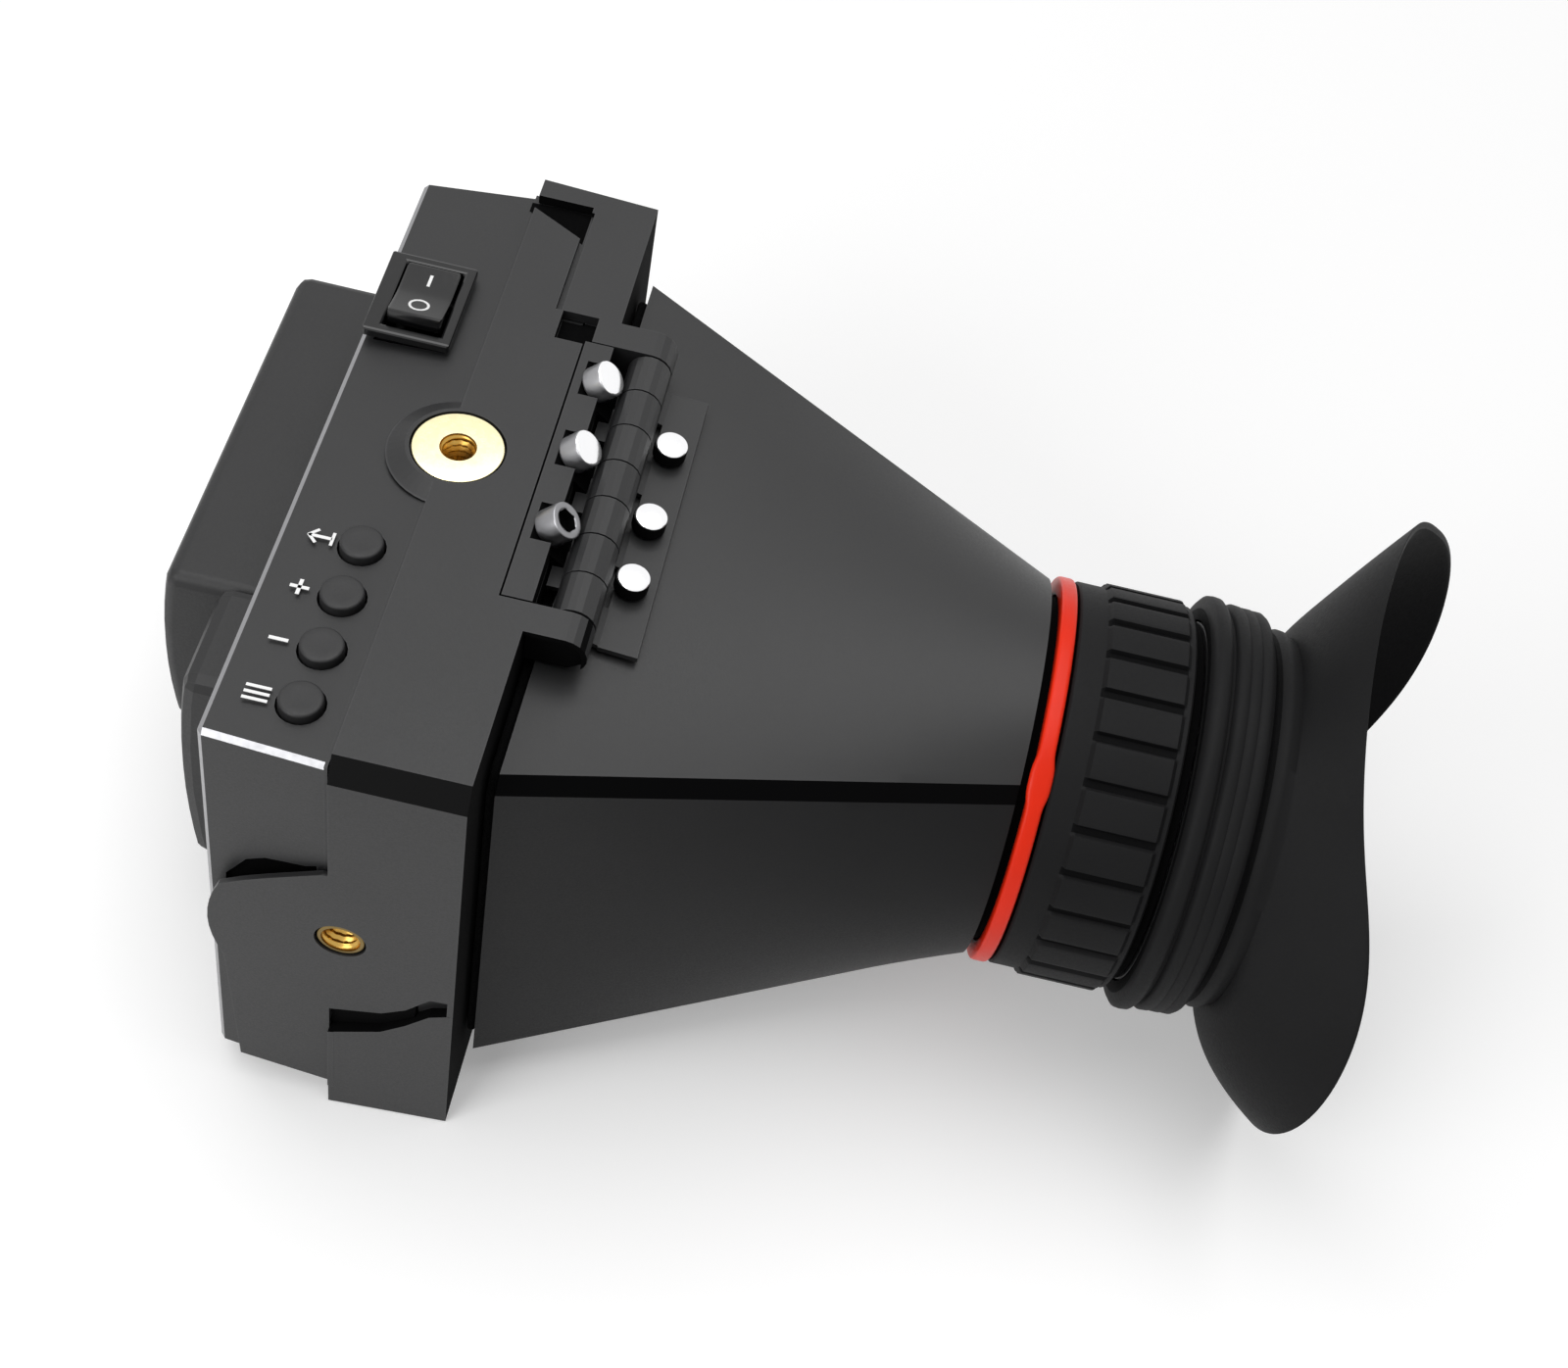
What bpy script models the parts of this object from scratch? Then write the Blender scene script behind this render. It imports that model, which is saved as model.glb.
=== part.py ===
"""Flip-up electronic viewfinder for a video camera.

A small screen sits in a housing behind a mounting frame. A tapered hood swings up from the
frame on a seven-knuckle hinge, and carries a focusing magnifier and a rubber eyecup.
The origin is at the middle of the frame's underside. +Z is up, towards the controls, and
the eye looks in from -Y. Lengths are in metres and angles in degrees.
"""
import math

import bmesh
import bpy
from mathutils import Matrix, Vector

# Clearances
fit_gap = 0.0003
running_gap = 0.0002
slide_gap = 0.0004

# Mounting frame
frame_side_wall = 0.0022
frame_top_wall = 0.0020
frame_depth = 0.0200
frame_draft = 0.0010
frame_rim_depth = 0.0060
frame_edge_chamfer_side = 0.0033
frame_edge_chamfer_drop = 0.0062
frame_edge_chamfer_wall = 0.0011
window_side_margin = 0.0135
window_top_margin = 0.0130

# Screen housing
housing_width = 0.1240
housing_height = 0.0900
housing_length = 0.0334
housing_draft = 0.0018
housing_draft_height = 0.0009
housing_wall = 0.0018
housing_floor_step = 0.0040
housing_edge_bevel = 0.0008
bezel_side_lip = 0.0005
bezel_top_lip = 0.0040
bezel_thickness = 0.0020

# Display stack
glass_side_margin = 0.0070
glass_top_margin = 0.0100
glass_thickness = 0.0010
panel_margin = 0.0020
panel_thickness = 0.0030
board_margin = 0.0030
board_thickness = 0.0016

# Power switch
switch_place_share = 0.2387
switch_length = 0.0188
switch_breadth = 0.0142
switch_overhang = -0.0004
switch_flange = 0.0018
switch_flange_rim = 0.0018
switch_wall = 0.0008
switch_depth = 0.0120
rocker_angle = 7.0
rocker_rise = 0.0016
rocker_depth = 0.0060
rocker_pivot_depth = 0.0020

# Push buttons
button_count = 4
button_first_share = 0.1774
button_pitch_share = 0.08145
button_setback = 0.0127
button_radius = 0.0033
button_rise = 0.0013
button_stem = 0.0040
button_collar = 0.0008
button_dome = 0.0004
button_travel = 0.0006

# Threaded inserts
insert_radius = 0.0072
insert_hole_radius = 0.0029
insert_flange = 0.0012
insert_sleeve_radius = 0.0045
insert_length = 0.0080
insert_setback = 0.0018
insert_recess = 0.0001
boss_margin = 0.0009
boss_flare = 0.0030

# Side bracket plate on the frame's near side
side_insert_radius = 0.0038
side_insert_sleeve_radius = 0.0034
side_insert_recess = 0.0013
side_insert_length = 0.0050
side_insert_rise = 0.0015
side_plate_depth_share = 0.82
side_ledge_steps = (0.0009, 0.0094, 0.0131, 0.0155)
side_ledge_heights = (0.0191, 0.0147, 0.0126, 0.0110)
side_lug_radius = 0.0247
side_lug_setback = 0.0007
side_plate_rise = 0.0038
side_step = 0.0010
lower_step_height = 0.0230
lower_step_shares = (0.0, 0.425, 0.62, 0.81, 0.95)
lower_step_rises = (-0.0026, 0.0005, 0.0038, 0.0079, 0.0091)
side_slot_heights = (0.0059, 0.0050, 0.0044, 0.0050, 0.0040)
side_slot_depth = 0.0027
ledge_hollow_steps = (0.0021, 0.0039, 0.0073, 0.0102, 0.0132, 0.0166)
ledge_hollow_heights = (0.0190, 0.0180, 0.0174, 0.0168, 0.0148, 0.0092)
ledge_hollow_floor = 0.0022

# Grooves in the frame's top
corner_groove_width = 0.0026
corner_groove_reach = 0.0085
corner_groove_length = 0.0095
corner_groove_inset = 0.0042
corner_groove_depth = 0.0020
long_groove_depth = 0.0010
pocket_length = 0.0065
pocket_breadth = 0.0060
pocket_depth = 0.0020

# Hinge
hinge_x = 0.0010
hinge_reach = 0.0063
barrel_radius = 0.0036
pin_radius = 0.0015
knuckle_count = 7
knuckle_length = 0.00786
knuckle_gap = 0.0003
ear_length = 0.0055
ear_wall = 0.0009
ear_hollow_length = 0.0036
leaf_flange_depth = 0.0047
leaf_flange_thickness = 0.0042
lug_width = 0.0070
lug_slope = 43.8
lug_crest_share = 0.7
leaf_thickness = 0.0012
hood_leaf_thickness = 0.0009
leaf_reach = 0.0062
leaf_clearance = 0.0005

# Hinge screws
frame_screw_radius = 0.0030
frame_screw_height = 0.0042
frame_screw_offset = 0.0038
frame_screw_setback = 0.00175
hood_screw_radius = 0.0027
hood_screw_height = 0.0032
hood_screw_far_x = 0.0146
hood_screw_middle_x = -0.0012
hood_screw_near_x = -0.0140
hood_screw_reach = 0.0064
socket_radius = 0.0014
socket_depth = 0.0020

# Hood
hood_side_margin = 0.0070
hood_top_margin = 0.0055
hood_gap = 0.0021
hood_length = 0.0762
hood_end_radius = 0.0325
hood_corner_chamfer = 0.0023
hood_base_wall = 0.0050
hood_end_wall = 0.0024
seal_inset = 0.0022
seal_breadth = 0.0024
magnet_radius = 0.0030
magnet_length = 0.0025
magnet_side_share = 0.42
magnet_drop_share = 0.94

# Lens barrel and rings
barrel_outer = 0.0296
barrel_inner = 0.0272
barrel_start = 0.0060
barrel_lip = 0.0014
red_ring_radius = 0.0332
red_ring_length = 0.0034
red_ring_setback = 0.0011
focus_ring_radius = 0.0330
focus_ring_length = 0.0194
focus_ring_wall = 0.0030
rib_count = 28
rib_height = 0.0008
rib_start = 0.0046
rib_end = 0.0010
rib_share = 0.62
rib_ramp = 0.0005

# Moving lens cell
cell_length = 0.0160
cell_setback = 0.0065
cell_wall = 0.0022
lens_thickness = 0.0090
lens_edge = 0.0030
lens_seat = 0.0014
retainer_length = 0.0016

# Eyecup
neck_ring_radius = 0.0310
neck_ring_length = 0.0050
eyecup_wall = 0.0018
neck_reach = 0.0157
ridge_radius = 0.0357
valley_radius = 0.0342
second_ridge_radius = 0.0348
neck_radius = 0.0318
far_wing_radius = 0.0560
near_wing_radius = 0.0503
saddle_radius = 0.0345
rim_reach = 0.0172
rim_waves = ((0.0047, -0.0018), (0.0052, -0.0018), (0.0031, -0.0019), (0.0012, 0.0016))
rim_fullness = 2.6
far_wing_bow = 0.25
near_wing_bow = 0.50
wing_turn = 37.7

# Battery side
cover_thickness = 0.0010
cover_side_inset = 0.0038
cover_inset = 0.0003
cover_lip = 0.0020
cover_top_inset = 0.0050
plate_thickness = 0.0010
battery_length = 0.0736
battery_height = 0.0384
battery_thickness = 0.0203
battery_bulge = 0.0016
battery_x = 0.0219
battery_drop = 0.0012
battery_bevel = 0.0022
terminal_length = 0.0205
terminal_height = 0.0480
terminal_thickness = 0.0118
terminal_bulge = 0.0016
terminal_drop = 0.0040
latch_radius = 0.0030
latch_rise = 0.0012
latch_length = 0.0050
cover_screw_radius = 0.0022
cover_screw_height = 0.0010
cover_screw_inset = 0.0060

# Video socket on the far side
socket_width = 0.0150
socket_height = 0.0056
socket_length = 0.0090
socket_wall = 0.0006

# Sides on turned shapes
turn_sides = 48
small_sides = 20
merge_distance = 0.00001

# Sizes and places that follow from those above
frame_width = housing_width + 2 * frame_side_wall
frame_height = housing_floor_step + housing_height + frame_top_wall
window_width = housing_width - 2 * window_side_margin
window_height = housing_height - 2 * window_top_margin
bezel_window_width = window_width - 2 * bezel_side_lip
bezel_window_height = window_height - 2 * bezel_top_lip
glass_width = housing_width - 2 * glass_side_margin
glass_height = housing_height - 2 * glass_top_margin
panel_width = glass_width - 2 * panel_margin
panel_height = glass_height - 2 * panel_margin
board_width = panel_width - 2 * board_margin
board_height = panel_height - 2 * board_margin
hood_width = housing_width - 2 * hood_side_margin
hood_height = housing_height - 2 * hood_top_margin
switch_x = housing_width * switch_place_share
button_first_x = -housing_width * button_first_share
button_pitch = housing_width * button_pitch_share
axis_height = housing_floor_step + housing_height / 2
frame_front = -frame_depth / 2
frame_back = frame_depth / 2
housing_front = frame_front + frame_rim_depth + fit_gap
housing_back = housing_front + housing_length
housing_top = housing_floor_step + housing_height
hinge_y = frame_front - hinge_reach
hinge_z = frame_height - barrel_radius
hood_base = frame_front - hood_gap
hood_end = hood_base - hood_length
hinge_span = knuckle_count * knuckle_length
hinge_start = hinge_x + hinge_span / 2
insert_y = frame_back - insert_setback

collection = bpy.data.collections.new("camera_viewfinder")
cutter_collection = bpy.data.collections.new("cutters")


def clear_scene():
    for thing in list(bpy.data.objects):
        bpy.data.objects.remove(thing, do_unlink=True)
    bpy.context.scene.collection.children.link(collection)
    bpy.context.scene.collection.children.link(cutter_collection)


def make_material(name, colour, roughness, metallic=0.0, alpha=1.0):
    material = bpy.data.materials.new(name)
    material.use_nodes = True
    shader = material.node_tree.nodes["Principled BSDF"]
    shader.inputs["Base Color"].default_value = (*colour, 1.0)
    shader.inputs["Roughness"].default_value = roughness
    shader.inputs["Metallic"].default_value = metallic
    shader.inputs["Alpha"].default_value = alpha
    return material


def add_object(name, mesh, material=None, cutter=False):
    thing = bpy.data.objects.new(name, mesh)
    if cutter:
        cutter_collection.objects.link(thing)
        thing.hide_render = True
        thing.display_type = "WIRE"
    else:
        collection.objects.link(thing)
    if material is not None:
        thing.data.materials.append(material)
    return thing


def box_mesh(name, low, high):
    shape = bmesh.new()
    bmesh.ops.create_cube(shape, size=1.0)
    size = [b - a for a, b in zip(low, high)]
    middle = [(a + b) / 2 for a, b in zip(low, high)]
    bmesh.ops.scale(shape, vec=size, verts=shape.verts)
    bmesh.ops.translate(shape, vec=middle, verts=shape.verts)
    mesh = bpy.data.meshes.new(name)
    shape.to_mesh(mesh)
    shape.free()
    return mesh


def cylinder_mesh(name, start, end, radius, sides, end_radius=None):
    """A capped cylinder, or a cone, from one point to another."""
    start = Vector(start)
    end = Vector(end)
    run = end - start
    turn = run.to_track_quat("Z", "Y").to_matrix().to_4x4()
    shape = bmesh.new()
    bmesh.ops.create_cone(
        shape, cap_ends=True, segments=sides, radius1=radius,
        radius2=radius if end_radius is None else end_radius, depth=run.length,
        matrix=Matrix.Translation((start + end) / 2) @ turn)
    mesh = bpy.data.meshes.new(name)
    shape.to_mesh(mesh)
    shape.free()
    mesh.shade_smooth()
    mesh.set_sharp_from_angle(angle=math.radians(35))
    return mesh


def outline_mesh(name, points, low, high, along):
    """A flat outline, drawn as a 2D curve and pushed from low to high along an axis."""
    curve = bpy.data.curves.new(name, "CURVE")
    curve.dimensions = "2D"
    curve.fill_mode = "BOTH"
    curve.extrude = (high - low) / 2
    line = curve.splines.new("POLY")
    line.points.add(len(points) - 1)
    for point, (a, b) in zip(line.points, points):
        point.co = (a, b, 0.0, 1.0)
    line.use_cyclic_u = True
    drawn = bpy.data.objects.new(name, curve)
    collection.objects.link(drawn)
    bpy.context.view_layer.update()
    seen = drawn.evaluated_get(bpy.context.evaluated_depsgraph_get())
    mesh = bpy.data.meshes.new_from_object(seen)
    bpy.data.objects.remove(drawn)
    axes = {"X": ((0, 0, 1), (1, 0, 0), (0, 1, 0)),
            "Y": ((1, 0, 0), (0, 0, 1), (0, 1, 0)),
            "Z": ((1, 0, 0), (0, 1, 0), (0, 0, 1))}[along]
    place = Matrix(axes).to_4x4() @ Matrix.Translation((0.0, 0.0, (low + high) / 2))
    shape = bmesh.new()
    shape.from_mesh(mesh)
    bmesh.ops.remove_doubles(shape, verts=shape.verts, dist=merge_distance)
    bmesh.ops.transform(shape, matrix=place, verts=shape.verts)
    bmesh.ops.dissolve_limit(shape, angle_limit=math.radians(0.5), verts=shape.verts,
                             edges=shape.edges)
    bmesh.ops.recalc_face_normals(shape, faces=shape.faces)
    shape.to_mesh(mesh)
    shape.free()
    return mesh


def ring_stack_mesh(name, rings, closed_loop=False):
    """Skin between rings of equal point count, closed by end faces or back to the start."""
    shape = bmesh.new()
    rows = [[shape.verts.new(point) for point in ring] for ring in rings]
    count = len(rows[0])
    pairs = list(zip(rows[:-1], rows[1:]))
    if closed_loop:
        pairs.append((rows[-1], rows[0]))
    for first, second in pairs:
        for i in range(count):
            j = (i + 1) % count
            shape.faces.new((first[i], first[j], second[j], second[i]))
    if not closed_loop:
        shape.faces.new(rows[0])
        shape.faces.new(rows[-1])
    bmesh.ops.recalc_face_normals(shape, faces=shape.faces)
    mesh = bpy.data.meshes.new(name)
    shape.to_mesh(mesh)
    shape.free()
    mesh.shade_smooth()
    mesh.set_sharp_from_angle(angle=math.radians(35))
    return mesh


def turned_object(name, profile, material, place, turn=0.0, sides=turn_sides, closed=True):
    """A profile of (height, radius) points that runs down its outer side, turned about a
    Z axis through place; turn leans that axis about X."""
    mesh = bpy.data.meshes.new(name)
    count = len(profile)
    links = [(i, (i + 1) % count) for i in range(count if closed else count - 1)]
    mesh.from_pydata([(radius, 0.0, height) for height, radius in profile], links, [])
    thing = add_object(name, mesh, material)
    thing.location = place
    thing.rotation_euler = (math.radians(turn), 0.0, 0.0)
    spin = thing.modifiers.new("turn", "SCREW")
    spin.steps = sides
    spin.render_steps = sides
    spin.use_merge_vertices = True
    spin.merge_threshold = merge_distance
    return thing


def optical_object(name, profile, material, closed=True):
    """A profile of (y, radius) points turned about the optical axis; the outer side runs
    towards the eye."""
    start = profile[0][0]
    return turned_object(name, [(y - start, radius) for y, radius in profile], material,
                         (0.0, start, axis_height), -90.0, closed=closed)


def cut(target, cutters, operation="DIFFERENCE"):
    for tool in cutters:
        modifier = target.modifiers.new(tool.name, "BOOLEAN")
        modifier.operation = operation
        modifier.solver = "EXACT"
        modifier.object = tool


def cutter_box(name, low, high):
    return add_object(name, box_mesh(name, low, high), cutter=True)


def cutter_cylinder(name, start, end, radius, sides=small_sides):
    return add_object(name, cylinder_mesh(name, start, end, radius, sides), cutter=True)


def bevel(thing, width, segments=2, angle=30):
    modifier = thing.modifiers.new("edge", "BEVEL")
    modifier.width = width
    modifier.segments = segments
    modifier.limit_method = "ANGLE"
    modifier.angle_limit = math.radians(angle)
    return modifier


def drafted_box_mesh(name, low, high, draft, draft_height, draft_end):
    """A box whose X sides and Z sides lean in at the low or the high Y end."""
    mesh = box_mesh(name, low, high)
    middle_x = (low[0] + high[0]) / 2
    middle_z = (low[2] + high[2]) / 2
    middle_y = (low[1] + high[1]) / 2
    for vertex in mesh.vertices:
        at_high = vertex.co.y > middle_y
        if at_high == (draft_end == "high"):
            vertex.co.x += draft if vertex.co.x < middle_x else -draft
            vertex.co.z += draft_height if vertex.co.z < middle_z else -draft_height
    return mesh


clear_scene()

black_metal = make_material("black_painted_metal", (0.035, 0.036, 0.038), 0.42)
black_plastic = make_material("black_plastic", (0.030, 0.030, 0.032), 0.55)
gloss_black = make_material("gloss_black_plastic", (0.012, 0.012, 0.013), 0.12)
rubber = make_material("black_rubber", (0.040, 0.040, 0.042), 0.75)
foam = make_material("black_foam", (0.015, 0.015, 0.015), 0.95)
brass = make_material("brass", (0.86, 0.74, 0.42), 0.25, 1.0)
chrome = make_material("chrome", (0.82, 0.82, 0.83), 0.10, 1.0)
steel = make_material("steel", (0.55, 0.55, 0.56), 0.30, 1.0)
red = make_material("orange_red", (0.78, 0.16, 0.07), 0.38)
glass = make_material("clear_glass", (0.90, 0.94, 0.95), 0.03, 0.0, 0.35)
panel_dark = make_material("display_panel", (0.02, 0.02, 0.03), 0.20)
board_green = make_material("circuit_board", (0.02, 0.12, 0.05), 0.50)

# Mounting frame: a sleeve round the housing, with a rim towards the hood and two hinge ears

half_frame = frame_width / 2
frame = add_object("mounting_frame", drafted_box_mesh(
    "mounting_frame", (-half_frame, frame_front, 0.0),
    (half_frame, frame_back, frame_height), frame_draft, 0.0, "low"), black_metal)

half_sleeve = housing_width / 2 + fit_gap
sleeve_cavity = cutter_box(
    "frame_sleeve_cut",
    (-half_sleeve, frame_front + frame_rim_depth, housing_floor_step - fit_gap),
    (half_sleeve, frame_back + frame_depth, housing_top + fit_gap))
window_cut = cutter_box(
    "frame_window_cut",
    (-window_width / 2, frame_front - frame_depth, axis_height - window_height / 2),
    (window_width / 2, frame_back, axis_height + window_height / 2))



def corner_cutter(name, inset, high_y):
    """A wedge over the near upper edge, its slanted face an inset inside the chamfer."""
    side, drop = frame_edge_chamfer_side, frame_edge_chamfer_drop
    shift_x = drop * inset / math.hypot(side, drop)
    shift_z = -side * inset / math.hypot(side, drop)
    low_x = -half_frame - side + shift_x
    high_z = frame_height + drop + shift_z
    return add_object(name, outline_mesh(
        name, [(low_x, high_z - 3 * drop), (low_x + 3 * side, high_z), (low_x, high_z)],
        frame_front - frame_depth, high_y, "Y"), cutter=True)


# The long chamfer on the near upper edge; the sleeve inside follows it
chamfer_cut = corner_cutter("frame_chamfer_cut", 0.0, frame_back + frame_depth)
cut(sleeve_cavity, [corner_cutter("sleeve_corner", frame_edge_chamfer_wall,
                                  frame_back + 2 * frame_depth)])

# Ears that hold the ends of the hinge pin
ear_tools = []
ear_far = (hinge_start + knuckle_gap, hinge_start + knuckle_gap + ear_length)
ear_near = (hinge_start - hinge_span - knuckle_gap - ear_length,
            hinge_start - hinge_span - knuckle_gap)
for label, (low_x, high_x) in (("far", ear_far), ("near", ear_near)):
    tool = add_object("ear_" + label, outline_mesh(
        "ear_" + label,
        [(frame_front + frame_rim_depth / 2, frame_height),
         (hinge_y, frame_height)]
        + [(hinge_y - barrel_radius * math.sin(math.radians(a)),
            hinge_z + barrel_radius * math.cos(math.radians(a)))
           for a in range(20, 180, 20)]
        + [(hinge_y, hinge_z - barrel_radius),
           (frame_front + frame_rim_depth / 2, hinge_z - barrel_radius)],
        low_x, high_x, "X"), cutter=True)
    ear_tools.append(tool)
pin_bore = cutter_cylinder(
    "frame_pin_bore", (ear_near[0] - ear_length, hinge_y, hinge_z),
    (ear_far[1] + ear_length, hinge_y, hinge_z), pin_radius + running_gap)

ear_roof = hinge_z + barrel_radius - ear_wall
ear_hollow = add_object("ear_hollow", outline_mesh(
    "ear_hollow",
    [(frame_front, ear_roof), (hinge_y, ear_roof)]
    + [(hinge_y - (barrel_radius - ear_wall) * math.sin(math.radians(a)),
        hinge_z + (barrel_radius - ear_wall) * math.cos(math.radians(a)))
       for a in (30, 60, 90)]
    + [(hinge_y - barrel_radius + ear_wall, hinge_z - 2 * barrel_radius),
       (frame_front, hinge_z - 2 * barrel_radius)],
    ear_near[0] - ear_length, ear_near[0] + ear_hollow_length, "X"), cutter=True)

# A rebate that seats the fixed leaf flush with the top
rebate_cut = cutter_box(
    "frame_rebate_cut",
    (hinge_start - hinge_span - fit_gap, frame_front - frame_rim_depth,
     frame_height - leaf_flange_thickness - fit_gap),
    (hinge_start + fit_gap, frame_front + leaf_flange_depth + fit_gap,
     frame_height + leaf_flange_thickness))

# Round boss over the housing for the upper threaded insert, and its seat
boss_radius = insert_radius + boss_margin
boss = add_object("frame_boss", cylinder_mesh(
    "frame_boss", (0.0, insert_y, housing_top + fit_gap), (0.0, insert_y, frame_height),
    boss_radius + boss_flare, turn_sides, boss_radius), cutter=True)
insert_seat = cutter_cylinder(
    "frame_insert_seat", (0.0, insert_y, frame_height - insert_recess - insert_flange - fit_gap),
    (0.0, insert_y, frame_height + insert_flange), insert_radius + fit_gap, turn_sides)
insert_bore = cutter_cylinder(
    "frame_insert_bore", (0.0, insert_y, housing_top - insert_length),
    (0.0, insert_y, frame_height + insert_flange), insert_sleeve_radius + fit_gap)

# Side bracket plate: it runs back over the housing and ends in a rounded lug
bracket_back = frame_back + (housing_back - frame_back) * side_plate_depth_share
lug_tip = housing_back - side_lug_setback
side_outline = [(frame_back - side_step, axis_height + side_ledge_heights[0])]
side_outline += [(frame_back + step, axis_height + height)
                 for step, height in zip(side_ledge_steps, side_ledge_heights)]
side_outline += [
    (lug_tip - side_lug_radius * (1 - math.cos(math.radians(a))),
     axis_height + side_lug_radius * math.sin(math.radians(a)))
    for a in range(24, -25, -6)]
side_outline += [
    (bracket_back, axis_height - lower_step_height),
    (bracket_back - side_step, housing_floor_step + side_plate_rise),
    (frame_back - side_step, housing_floor_step + side_step)]
side_plate = add_object("side_plate", outline_mesh(
    "side_plate", side_outline, -half_frame, -half_sleeve, "X"), cutter=True)
side_insert_z = axis_height + side_insert_rise
side_seat = cutter_cylinder(
    "side_insert_seat", (-half_frame - insert_flange, insert_y, side_insert_z),
    (-half_sleeve + fit_gap, insert_y, side_insert_z),
    side_insert_radius + fit_gap, turn_sides)

# The upper part of the near side lies one step in, down to a sloping ledge with a slot over it
lower_top = axis_height - lower_step_height
lower_line = [(frame_back - frame_depth * share, lower_top + rise)
              for share, rise in zip(lower_step_shares, lower_step_rises)]
side_step_cut = add_object("side_step_cut", outline_mesh(
    "side_step_cut",
    [(frame_back + frame_depth, frame_height + frame_depth),
     (frame_front - frame_depth, frame_height + frame_depth),
     (frame_front - frame_depth, lower_line[-1][1])] + lower_line[::-1]
    + [(frame_back + fit_gap, -frame_depth), (frame_back + frame_depth, -frame_depth)],
    -half_frame - frame_depth, -half_frame + side_step, "X"), cutter=True)
side_slot = add_object("side_slot", outline_mesh(
    "side_slot",
    lower_line[::-1] + [(y, z + height) for (y, z), height in zip(lower_line, side_slot_heights)],
    -half_frame - frame_depth, -half_frame + side_slot_depth, "X"), cutter=True)

# Grooves at the far end of the top
groove_x = half_frame - corner_groove_inset
corner_groove = add_object("corner_groove_cut", outline_mesh(
    "corner_groove_cut",
    [(groove_x, frame_back - corner_groove_length), (groove_x, frame_back + side_step),
     (groove_x - corner_groove_width, frame_back + side_step),
     (groove_x - corner_groove_reach, frame_back - corner_groove_length)],
    frame_height - corner_groove_depth, frame_height + frame_depth, "Z"), cutter=True)
long_groove = cutter_box(
    "long_groove_cut",
    (ear_far[1], frame_back - corner_groove_length - side_step / 2,
     frame_height - long_groove_depth),
    (groove_x - corner_groove_width / 2, frame_back - corner_groove_length + side_step / 2,
     frame_height + frame_depth))
pocket = cutter_box(
    "pocket_cut",
    (ear_far[1] - pocket_length, frame_front + leaf_flange_depth - side_step,
     frame_height - pocket_depth),
    (ear_far[1], frame_front + leaf_flange_depth - side_step + pocket_breadth,
     frame_height + frame_depth))

magnet_places = []
for side in (-1, 1):
    magnet_places.append((side * window_width / 2 * magnet_side_share * 2,
                          axis_height - hood_height / 2 * magnet_drop_share))

cut(frame, [sleeve_cavity, window_cut])
cut(frame, ear_tools + [boss, side_plate], "UNION")
cut(frame, [chamfer_cut, side_step_cut, rebate_cut, pin_bore, insert_seat, insert_bore,
            side_seat, side_slot, ear_hollow, corner_groove, long_groove, pocket])

# Threaded inserts: a flanged brass bush with a plain hole where the thread is


def insert_object(name, place, axis, radius, sleeve_radius, length):
    """A flanged bush whose flange top is at place and whose axis points outwards."""
    axis = Vector(axis)
    place = Vector(place)
    head = add_object(name, cylinder_mesh(
        name, place - axis * insert_flange, place, radius, turn_sides), brass)
    sleeve = cutter_cylinder(
        name + "_sleeve", place - axis * length, place - axis * insert_flange / 2,
        sleeve_radius)
    hole = cutter_cylinder(
        name + "_hole", place - axis * length * 2, place + axis * length,
        insert_hole_radius)
    cut(head, [sleeve], "UNION")
    cut(head, [hole])
    return head


insert_object("top_threaded_insert", (0.0, insert_y, frame_height - insert_recess),
              (0, 0, 1), insert_radius, insert_sleeve_radius, insert_length)
insert_object("side_threaded_insert",
              (-half_frame + side_insert_recess, insert_y, side_insert_z),
              (-1, 0, 0), side_insert_radius, side_insert_sleeve_radius, side_insert_length)

# Screen housing: a shell, open to the hood through its bezel window

housing = add_object("rear_housing", drafted_box_mesh(
    "rear_housing", (-housing_width / 2, frame_back, housing_floor_step),
    (housing_width / 2, housing_back, housing_top),
    housing_draft, housing_draft_height, "high"), black_metal)
front_block = add_object("housing_front", box_mesh(
    "housing_front", (-housing_width / 2, housing_front, housing_floor_step),
    (housing_width / 2, frame_back + housing_edge_bevel, housing_top)), cutter=True)
bevel(housing, housing_edge_bevel, 1)
cavity = cutter_box(
    "housing_cavity",
    (-housing_width / 2 + housing_wall, housing_front + bezel_thickness,
     housing_floor_step + housing_wall),
    (housing_width / 2 - housing_wall, frame_back + housing_wall,
     housing_top - housing_wall))
rear_cavity = cutter_box(
    "housing_rear_cavity",
    (-housing_width / 2 + housing_wall + housing_draft, frame_back,
     housing_floor_step + housing_wall + housing_draft_height),
    (housing_width / 2 - housing_wall - housing_draft, housing_back - housing_wall,
     housing_top - housing_wall - housing_draft_height))
half_cover_x = housing_width / 2 - housing_draft - cover_side_inset
half_cover_z = housing_height / 2 - housing_draft_height - cover_inset
back_opening = cutter_box(
    "housing_back_opening",
    (-half_cover_x + cover_lip, frame_back, axis_height - half_cover_z + cover_lip),
    (half_cover_x - cover_lip, housing_back + housing_wall,
     axis_height + half_cover_z - cover_top_inset - cover_lip))
ledge_hollow = add_object("ledge_hollow", outline_mesh(
    "ledge_hollow",
    [(frame_back + ledge_hollow_steps[0], axis_height),
     (frame_back + ledge_hollow_steps[-1], axis_height)]
    + [(frame_back + step, axis_height + height)
       for step, height in zip(ledge_hollow_steps[::-1], ledge_hollow_heights[::-1])],
    -half_frame - frame_depth, -housing_width / 2 + ledge_hollow_floor, "X"), cutter=True)
bezel_cut = cutter_box(
    "bezel_window_cut",
    (-bezel_window_width / 2, housing_front - bezel_thickness,
     axis_height - bezel_window_height / 2),
    (bezel_window_width / 2, housing_front + 2 * bezel_thickness,
     axis_height + bezel_window_height / 2))

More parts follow.
